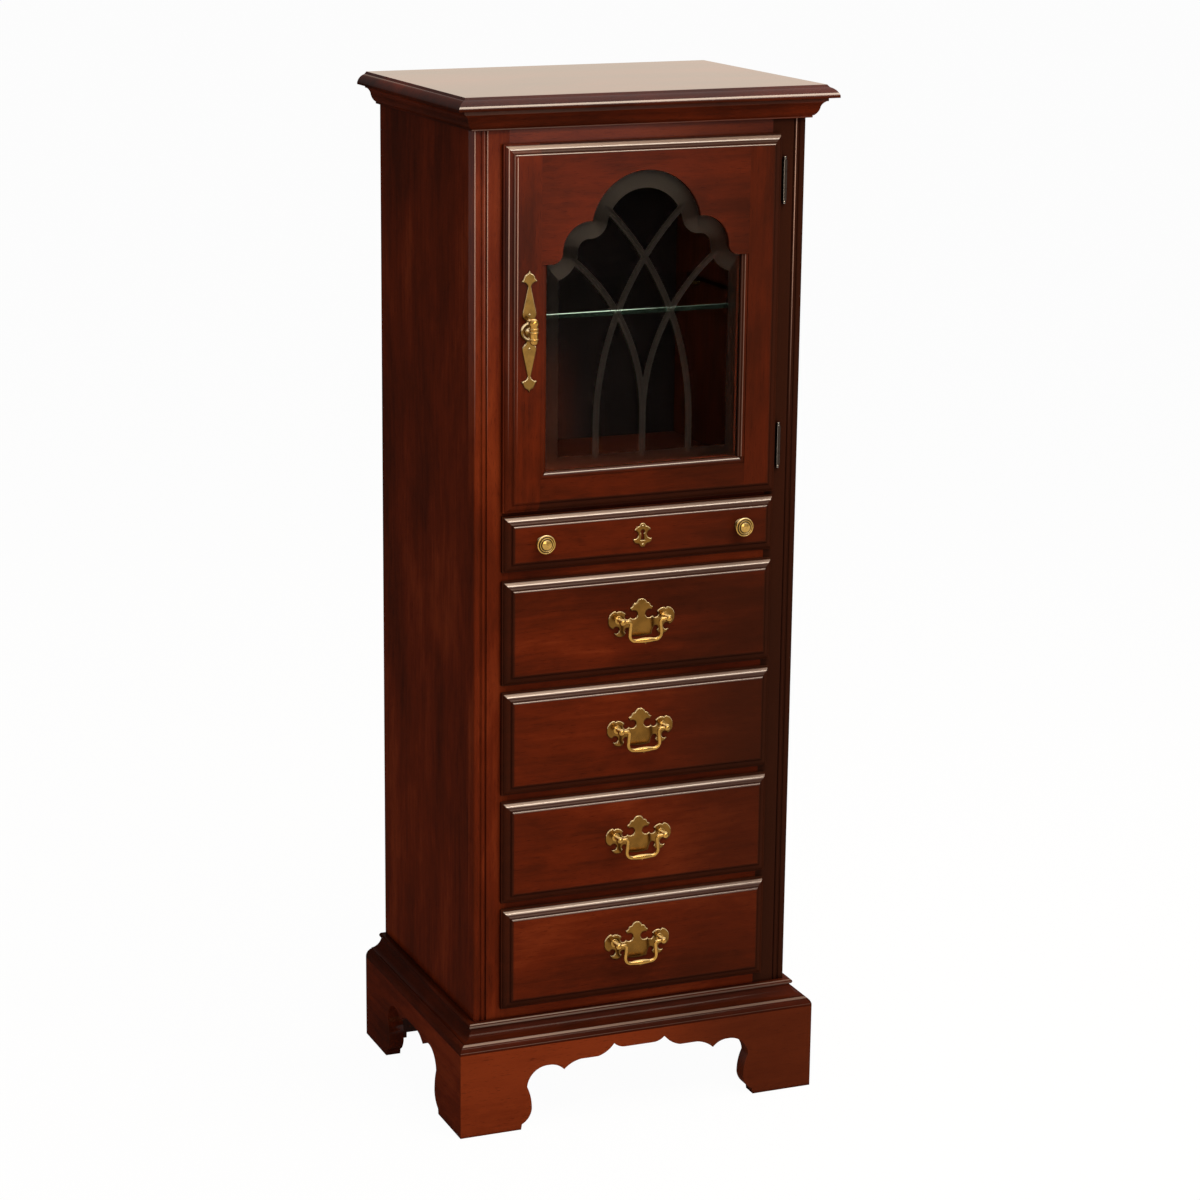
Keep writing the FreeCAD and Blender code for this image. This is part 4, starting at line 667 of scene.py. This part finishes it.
class Setting:
    """A Geometry Nodes tree that sets one head on every point, square to the point's facing."""

    def __init__(self, name, slotted, material):
        self.tree = bpy.data.node_groups.new(name, "GeometryNodeTree")
        self.sockets = {}
        self.input("Points", "NodeSocketGeometry")
        self.input("Head radius", "NodeSocketFloat")
        self.input("Head rise", "NodeSocketFloat")
        self.tree.interface.new_socket("Heads", in_out="OUTPUT", socket_type="NodeSocketGeometry")
        start = self.node("NodeGroupInput").outputs
        flatten = self.node("ShaderNodeMath", {"operation": "DIVIDE"}, {
            0: start["Head rise"], 1: start["Head radius"]})
        scale = self.node("ShaderNodeCombineXYZ", None, {0: 1.0, 1: 1.0, 2: flatten.outputs[0]})
        head = self.node("GeometryNodeMeshUVSphere", None, {
            "Segments": 16, "Rings": 8, "Radius": start["Head radius"]}).outputs["Mesh"]
        if slotted:
            head = self.sawn(head, start["Head radius"])
        head = self.node("GeometryNodeTransform", None, {"Geometry": head, "Scale": scale.outputs[0]})
        facing = self.node("GeometryNodeInputNamedAttribute", {"data_type": "FLOAT_VECTOR"}, {
            "Name": "facing"})
        turn = self.node("FunctionNodeAlignRotationToVector", {"axis": "Z"}, {
            "Vector": facing.outputs["Attribute"]})
        heads = self.node("GeometryNodeInstanceOnPoints", None, {
            "Points": start["Points"], "Instance": head.outputs[0], "Rotation": turn.outputs[0]})
        solid = self.node("GeometryNodeRealizeInstances", None, {"Geometry": heads.outputs[0]})
        paint = self.node("GeometryNodeSetMaterial", None, {
            "Geometry": solid.outputs[0], "Material": material})
        self.node("NodeGroupOutput", None, {"Heads": paint.outputs[0]})

    def input(self, name, kind):
        socket = self.tree.interface.new_socket(name, in_out="INPUT", socket_type=kind)
        self.sockets[name] = socket.identifier

    def node(self, kind, settings=None, inputs=None):
        node = self.tree.nodes.new(kind)
        for name, value in (settings or {}).items():
            setattr(node, name, value)
        for name, value in (inputs or {}).items():
            socket = node.inputs[name]
            if isinstance(value, bpy.types.NodeSocket):
                self.tree.links.new(value, socket)
            else:
                socket.default_value = value
        return node

    def scaled(self, vector, factor):
        inputs = {0: vector, "Scale": factor}
        return self.node("ShaderNodeVectorMath", {"operation": "SCALE"}, inputs).outputs[0]

    def sawn(self, head, radius):
        """A round head with a slot cut across its top."""
        block = self.node("GeometryNodeMeshCube", None, {"Size": self.scaled(SLOT_SIZE, radius)})
        block = self.node("GeometryNodeTransform", None, {
            "Geometry": block.outputs["Mesh"], "Translation": self.scaled(SLOT_PLACE, radius)})
        cut = self.node("GeometryNodeMeshBoolean", {"operation": "DIFFERENCE"}, {
            "Mesh 1": head, "Mesh 2": block.outputs[0]})
        return cut.outputs["Mesh"]

    def set(self, name, body, slot, places, radius, rise):
        """Makes the heads at (place, facing) pairs into one plain mesh that rides on a body."""
        points = bpy.data.meshes.new(name + "_points")
        points.from_pydata([place for place, _ in places], [], [])
        facing = points.attributes.new("facing", "FLOAT_VECTOR", "POINT")
        for item, (_, way) in zip(facing.data, places):
            item.vector = way
        piece = bpy.data.objects.new(name, points)
        bpy.context.scene.collection.objects.link(piece)
        setter = piece.modifiers.new("heads", "NODES")
        setter.node_group = self.tree
        setter[self.sockets["Head radius"]] = radius
        setter[self.sockets["Head rise"]] = rise
        evaluated = piece.evaluated_get(bpy.context.evaluated_depsgraph_get())
        solid = bpy.data.meshes.new_from_object(evaluated)
        piece.modifiers.remove(setter)
        piece.data = solid
        bpy.data.meshes.remove(points)
        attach(piece, body)


def middle(node):
    low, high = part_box(node)
    return (low + high) / 2


def spread(start, end, count):
    return [start + (end - start) * i / (count - 1) for i in range(count)]


def back_nail_places():
    """Nails round the edge of the back panel."""
    low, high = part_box("back_panel")
    rows = low.z + NAIL_INSET, high.z - NAIL_INSET
    columns = low.x + NAIL_INSET, high.x - NAIL_INSET
    places = []
    for z in spread(low.z + 3 * NAIL_INSET, high.z - 3 * NAIL_INSET, NAILS_UP):
        places += [((x, high.y, z), REAR) for x in columns]
    for x in spread(low.x + 14 * NAIL_INSET, high.x - 14 * NAIL_INSET, NAILS_ALONG):
        places += [((x, high.y, z), REAR) for z in rows]
    return places


def either_side(place, step, facing):
    """Two places, a step to each side of one."""
    return [(tuple(place + step * way), facing) for way in (-1, 1)]


def set_fasteners(pin_brass, screw_bronze, nail_steel):
    pins = Setting("domed_pins", False, pin_brass)
    nails = Setting("flat_nails", False, nail_steel)
    screws = Setting("slotted_screws", True, screw_bronze)
    steel_screws = Setting("slotted_steel_screws", True, nail_steel)
    nails.set("back_panel_nails", "case", "steel", back_nail_places(), *NAIL_HEAD)

    keyhole = middle("keyhole_escutcheon")
    keyhole.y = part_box("keyhole_escutcheon")[0].y
    places = either_side(keyhole, UP * ESCUTCHEON_PIN_STEP, FRONT)
    pins.set("escutcheon_pins", "shallow_drawer", "brass", places, *ESCUTCHEON_PIN)

    pull = middle("door_pull_plate")
    pull.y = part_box("door_stile_left")[0].y - PULL_PLATE
    places = either_side(pull, UP * PULL_PIN_STEP, FRONT)
    pins.set("pull_plate_pins", "door", "brass", places, *PULL_PIN)

    leaf_low, leaf_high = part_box("hinge_case_leaves")
    door_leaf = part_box("door_stile_right")[1].x - DOOR_SCREW_INSET
    case_places = []
    door_places = []
    for level in (leaf_low.z + HALF_HINGE, leaf_high.z - HALF_HINGE):
        on_case = Vector((leaf_low.x, FACE_Y + CASE_SCREW_DEPTH, level))
        on_door = Vector((door_leaf, FACE_Y - LEAF_GAP, level))
        case_places += either_side(on_case, UP * CASE_SCREW_STEP, LEFT)
        door_places += either_side(on_door, UP * DOOR_SCREW_STEP, REAR)
    screws.set("hinge_screws_in_case", "case", "brass", case_places, *CASE_SCREW)
    screws.set("hinge_screws_in_door", "door", "brass", door_places, *DOOR_SCREW)

    strike = middle("catch_strike")
    strike.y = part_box("catch_strike")[1].y
    places = either_side(strike, ACROSS * STRIKE_SCREW_STEP, REAR)
    steel_screws.set("strike_screws", "door", "steel", places, *STRIKE_SCREW)


# Which way the grain runs in each board
SHOW_WOOD = {
    "x": ["top_board", "top_rail", "door_sill_rail", "drawer_rails", "bottom_rail", "apron_front",
          "door_arched_rail", "door_bottom_rail", "shallow_drawer_front", "drawer_1_front", "drawer_2_front",
          "drawer_3_front", "drawer_4_front"],
    "y": ["apron_left", "apron_right"],
    "z": ["side_panel_left", "side_panel_right", "stile_left", "stile_right", "door_stile_left",
          "door_stile_right", "glass_stops"],
    "mitred": ["cornice", "base_moulding"],
}
BARE_WOOD = {
    "x": ["case_bottom"],
    "y": ["drawer_runners", "shallow_drawer_box", "drawer_1_box", "drawer_2_box", "drawer_3_box",
          "drawer_4_box"],
}
STAINED_WOOD = {
    "x": ["cupboard_floor", "back_brackets"],
    "y": ["top_cleats"],
    "z": ["glue_blocks"],
}
# The front of the door as one lipped panel
DOOR_FRAME = ("door_stile_left", "door_stile_right", "door_arched_rail", "door_bottom_rail")
DOOR_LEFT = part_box("door_stile_left")[0].x
DOOR_RIGHT_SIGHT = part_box("door_stile_right")[0].x
CASE_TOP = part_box("top_board")[0].z
BASE_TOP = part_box("base_moulding")[1].z
# Painted highlights on the fillet and foot of the cornice
CORNICE_BANDS = ((CASE_TOP - 3.2 * MM, 2.6 * MM, 0.12), (CASE_TOP - 24 * MM, 0.6 * MM, 0.2))
# Painted highlights on the top arris, bead, ledge and lower arris of the base moulding
BASE_BANDS = ((BASE_TOP - 0.4 * MM, 0.7 * MM, 0.55), (BASE_TOP - 4.4 * MM, 2.0 * MM, 0.4),
              (BASE_TOP - 21.5 * MM, 0.9 * MM, 0.6), (BASE_TOP - 29 * MM, 0.4 * MM, 0.2))
# Boards that differ from the rest: stain, a painted shade heavier to the right, painted highlight lines as
# (place, strength)
LOOKS = {
    "top_board": {"tone": 0.32},
    "cornice": {"tone": 0.42, "bands": CORNICE_BANDS},
    "top_rail": {"tone": 0.70, "right_shade": 0.5, "sheen": 0.2},
    "bottom_rail": {"tone": 0.62},
    "drawer_rails": {"tone": 0.58},
    "apron_front": {"tone": 0.86, "right_shade": 0.6, "polish": 0.4},
    "apron_left": {"tone": 0.56},
    "apron_right": {"tone": 0.56},
    "base_moulding": {"tone": 0.30, "polish": 0.05, "bands": BASE_BANDS},
    "side_panel_left": {"tone": 0.56, "inner": (0, 1, STAINED_STOPS)},
    "side_panel_right": {"tone": 0.56, "inner": (0, -1, STAINED_STOPS)},
    "stile_left": {"tone": 0.60, "sheen": 0.07, "lines": (
        (-CASE_HALF + 0.9 * MM, 0.9), (-CASE_HALF + 12.6 * MM, 0.2), (-CASE_HALF + 16.7 * MM, 0.85))},
    "stile_right": {"tone": 0.30, "right_shade": 0.9, "lines": ((CASE_HALF - 12.6 * MM, 0.8),)},
    "door_arched_rail": {"tone": 0.47, "right_shade": 0.3, "sheen": 0.08},
    "door_stile_left": {"tone": 0.52, "sheen": 0.08, "rim_glazing_and_shade": 0.25, "lines": (
        (DOOR_LEFT + 5.3 * MM, 0.95), (DOOR_LEFT + 11.4 * MM, 0.35), (DOOR_LEFT + 14.8 * MM, 0.9))},
    "door_stile_right": {"tone": 0.47, "sheen": 0.04, "right_shade": 0.4, "lines": (
        (DOOR_RIGHT_SIGHT + 1.2 * MM, 0.12), (DOOR_RIGHT_SIGHT + 4.2 * MM, 0.28)), "line_span": (0.72, 0.78)},
    "door_bottom_rail": {"tone": 0.35, "right_shade": 0.4},
    "shallow_drawer_front": {"tone": 0.54, "right_shade": 0.5},
    "drawer_1_front": {"tone": 0.44, "right_shade": 0.55},
    "drawer_2_front": {"tone": 0.58, "right_shade": 0.8},
    "drawer_3_front": {"tone": 0.57, "right_shade": 0.6},
    "drawer_4_front": {"right_shade": 0.4},
}


def whole_box(names):
    """Lowest and highest corners of several boards together."""
    boxes = [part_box(name) for name in names]
    low = Vector(min(box[0][axis] for box in boxes) for axis in range(3))
    high = Vector(max(box[1][axis] for box in boxes) for axis in range(3))
    return low, high


def rim_of(name):
    if name in DOOR_FRAME:
        return whole_box(DOOR_FRAME)
    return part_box(name) if "drawer" in name and name.endswith("front") else None


def dress(name, material):
    mesh = nodes[name].data
    mesh.materials.clear()
    mesh.materials.append(material)


def dress_boards():
    seed = 0
    for grain, names in SHOW_WOOD.items():
        for name in names:
            seed += 1
            look = dict(LOOKS.get(name, {}))
            if name.endswith("drawer_front") or name.startswith("drawer_"):
                look["inner"] = (1, 1, BARE_STOPS)
            dress(name, lacquered(f"lacquered_{name}", grain, seed, rim=rim_of(name), **look))
    for boards, stops in ((BARE_WOOD, BARE_STOPS), (STAINED_WOOD, STAINED_STOPS)):
        for grain, names in boards.items():
            for name in names:
                seed += 1
                dress(name, bare(f"sealed_{name}", grain, seed, stops))
    shelf_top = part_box("glass_shelf")[1].z
    # Painted light on the back, low down on the left
    lit_low_left = (10 * MM, 70 * MM), (shelf_top - 150 * MM, shelf_top - 70 * MM), STAINED_STOPS
    dress("back_panel", bare("stained_ply", "z", seed, BACK_STOPS, PLY_STOPS, lit_low_left))


KNOB_RADIUS = 11.8 * MM
KNOB_GROOVES = (9.5 * MM, 7.0 * MM)


def dress_fittings():
    knob_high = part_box("shallow_drawer_knobs")[1]
    knob_grooves = (knob_high.x - KNOB_RADIUS, middle("shallow_drawer_knobs").z, KNOB_GROOVES)
    plate_colours = (0.23, 0.106, 0.020), (1.0, 0.78, 0.42)
    pull_colours = (0.34, 0.18, 0.042), (1.0, 0.82, 0.50)
    turned_colours = (0.50, 0.26, 0.055), (1.0, 0.78, 0.38)
    turned_light_span = (0.5, 0.95)
    plate = brass("dulled_brass_plate", *plate_colours, shine=0.16, satin=0.0, round_over=1.7 * MM)
    pillowed = brass("pillowed_brass_plate", *pull_colours, shine=0.16, satin=0.0, round_over=2.2 * MM)
    turned = brass("polished_brass", *turned_colours, shine=0.06, satin=0.06, light_span=turned_light_span)
    knob_colours = (0.66, 0.38, 0.09), (1.0, 0.84, 0.50)
    knob_light_span = (0.3, 0.7)
    ringed = brass("ringed_knob_brass", *knob_colours, shine=0.06, satin=0.1, light_span=knob_light_span,
                   grooves=knob_grooves)
    bronze = hinge_bronze()
    dress("door_pull_plate", pillowed)
    dress("keyhole_escutcheon", plate)
    dress("shallow_drawer_knobs", ringed)
    for name in ("door_pull_drop", "shelf_pins"):
        dress(name, turned)
    for name in ("hinge_case_leaves", "hinge_door_leaves", "hinge_pins"):
        dress(name, bronze)
    for number in range(1, 5):
        dress(f"drawer_{number}_plate", plate)
        dress(f"drawer_{number}_posts", turned)
        dress(f"drawer_{number}_bail", turned)
    steel = zinc_steel()
    dress("catch_strike", steel)
    dress("door_catch", brown_plastic())
    dress("door_glass", door_pane())
    dress("glass_shelf", shelf_glass())
    set_fasteners(pillowed, bronze, steel)


# Floor, light and camera

WARM = (1.0, 0.84, 0.66)
AMBER = (1.0, 0.74, 0.48)
AMBIENT = 0.25
FLOOR_REACH = 60.0
# How white the floor and the sky are to rays from the camera, off polish and through glass
FLOOR_WHITE = {"Is Camera Ray": 0.97, "Is Glossy Ray": 0.92, "Is Transmission Ray": 0.92}
SKY_WHITE = {"Is Camera Ray": 1.0, "Is Glossy Ray": 0.5, "Is Transmission Ray": 1.0}


def add_area(name, place, aim, size, power, colour=(1.0, 1.0, 1.0), mirrored=True):
    lamp = bpy.data.lights.new(name, "AREA")
    lamp.shape = "RECTANGLE"
    lamp.size, lamp.size_y = size
    lamp.energy = power
    lamp.color = colour
    holder = bpy.data.objects.new(name, lamp)
    holder.location = place
    holder.rotation_euler = (Vector(aim) - Vector(place)).to_track_quat("-Z", "Y").to_euler()
    holder.visible_camera = False
    holder.visible_glossy = mirrored
    bpy.context.scene.collection.objects.link(holder)


def add_floor():
    """A wide pale floor that reads as white and keeps the soft shadow."""
    mesh = bpy.data.meshes.new("floor")
    corners = [(x * FLOOR_REACH, y * FLOOR_REACH, 0) for x, y in ((-1, -1), (1, -1), (1, 1), (-1, 1))]
    mesh.from_pydata(corners, [], [(0, 1, 2, 3)])
    floor = bpy.data.objects.new("floor", mesh)
    bpy.context.scene.collection.objects.link(floor)
    finish = Finish("pale_floor")
    paint = finish.node("ShaderNodeBsdfDiffuse", None, {"Color": rgb(0.82, 0.82, 0.82)})
    white = finish.node("ShaderNodeEmission", None, {"Color": rgb(1, 1, 1), "Strength": 1.0})
    path = finish.tree.nodes.new("ShaderNodeLightPath")
    seen = sum(Value(finish, path.outputs[ray]) * share for ray, share in FLOOR_WHITE.items())
    both = finish.node("ShaderNodeMixShader", None, {0: seen, 1: paint, 2: white})
    mesh.materials.append(finish.show(both))


def add_world():
    """Soft light all round; the white of the floor carries on to the sky where it is seen."""
    world = bpy.data.worlds.new("studio")
    world.use_nodes = True
    tree = world.node_tree
    background = tree.nodes["Background"]
    background.inputs["Color"].default_value = rgb(1.0, 1.0, 1.0)
    path = tree.nodes.new("ShaderNodeLightPath")
    strength = None
    for ray, white in SKY_WHITE.items():
        share = tree.nodes.new("ShaderNodeMath")
        share.operation = "MULTIPLY_ADD"
        tree.links.new(path.outputs[ray], share.inputs[0])
        share.inputs[1].default_value = white - AMBIENT
        share.inputs[2].default_value = AMBIENT
        if strength:
            tree.links.new(strength, share.inputs[2])
        strength = share.outputs[0]
    tree.links.new(strength, background.inputs["Strength"])
    bpy.context.scene.world = world


def add_camera():
    lens = bpy.data.cameras.new("camera")
    lens.lens = CAMERA_LENS
    lens.shift_x, lens.shift_y = CAMERA_SHIFT
    lens.clip_end = 200.0
    camera = bpy.data.objects.new("camera", lens)
    x, y, z = CAMERA_PLACE
    camera.location = (x, FACE_Y + y, z)
    camera.rotation_euler = (math.radians(90 + CAMERA_PITCH), 0, math.radians(-CAMERA_YAW))
    bpy.context.scene.collection.objects.link(camera)
    bpy.context.scene.camera = camera


dress_boards()
dress_fittings()
add_floor()
add_world()
add_area("overhead_box", (0.6, -0.3, 3.0), (0, -0.1, 0.7), (2.4, 1.4), 75, WARM, mirrored=False)
add_area("front_top_box", (0.4, -1.9, 2.8), (0, -0.1, 0.7), (2.2, 0.7), 48, WARM)
add_area("front_box", (-0.7, -3.1, 1.9), (0, 0, 0.7), (1.8, 1.6), 24)
add_area("left_strip", (-2.3, -2.9, 1.2), (0, 0, 0.8), (0.22, 1.8), 6, WARM)
add_area("back_card", (1.3, 3.0, 1.9), (0, 0, 1.3), (2.6, 1.0), 5.4, AMBER)
add_camera()
bpy.context.scene.view_settings.view_transform = "Standard"
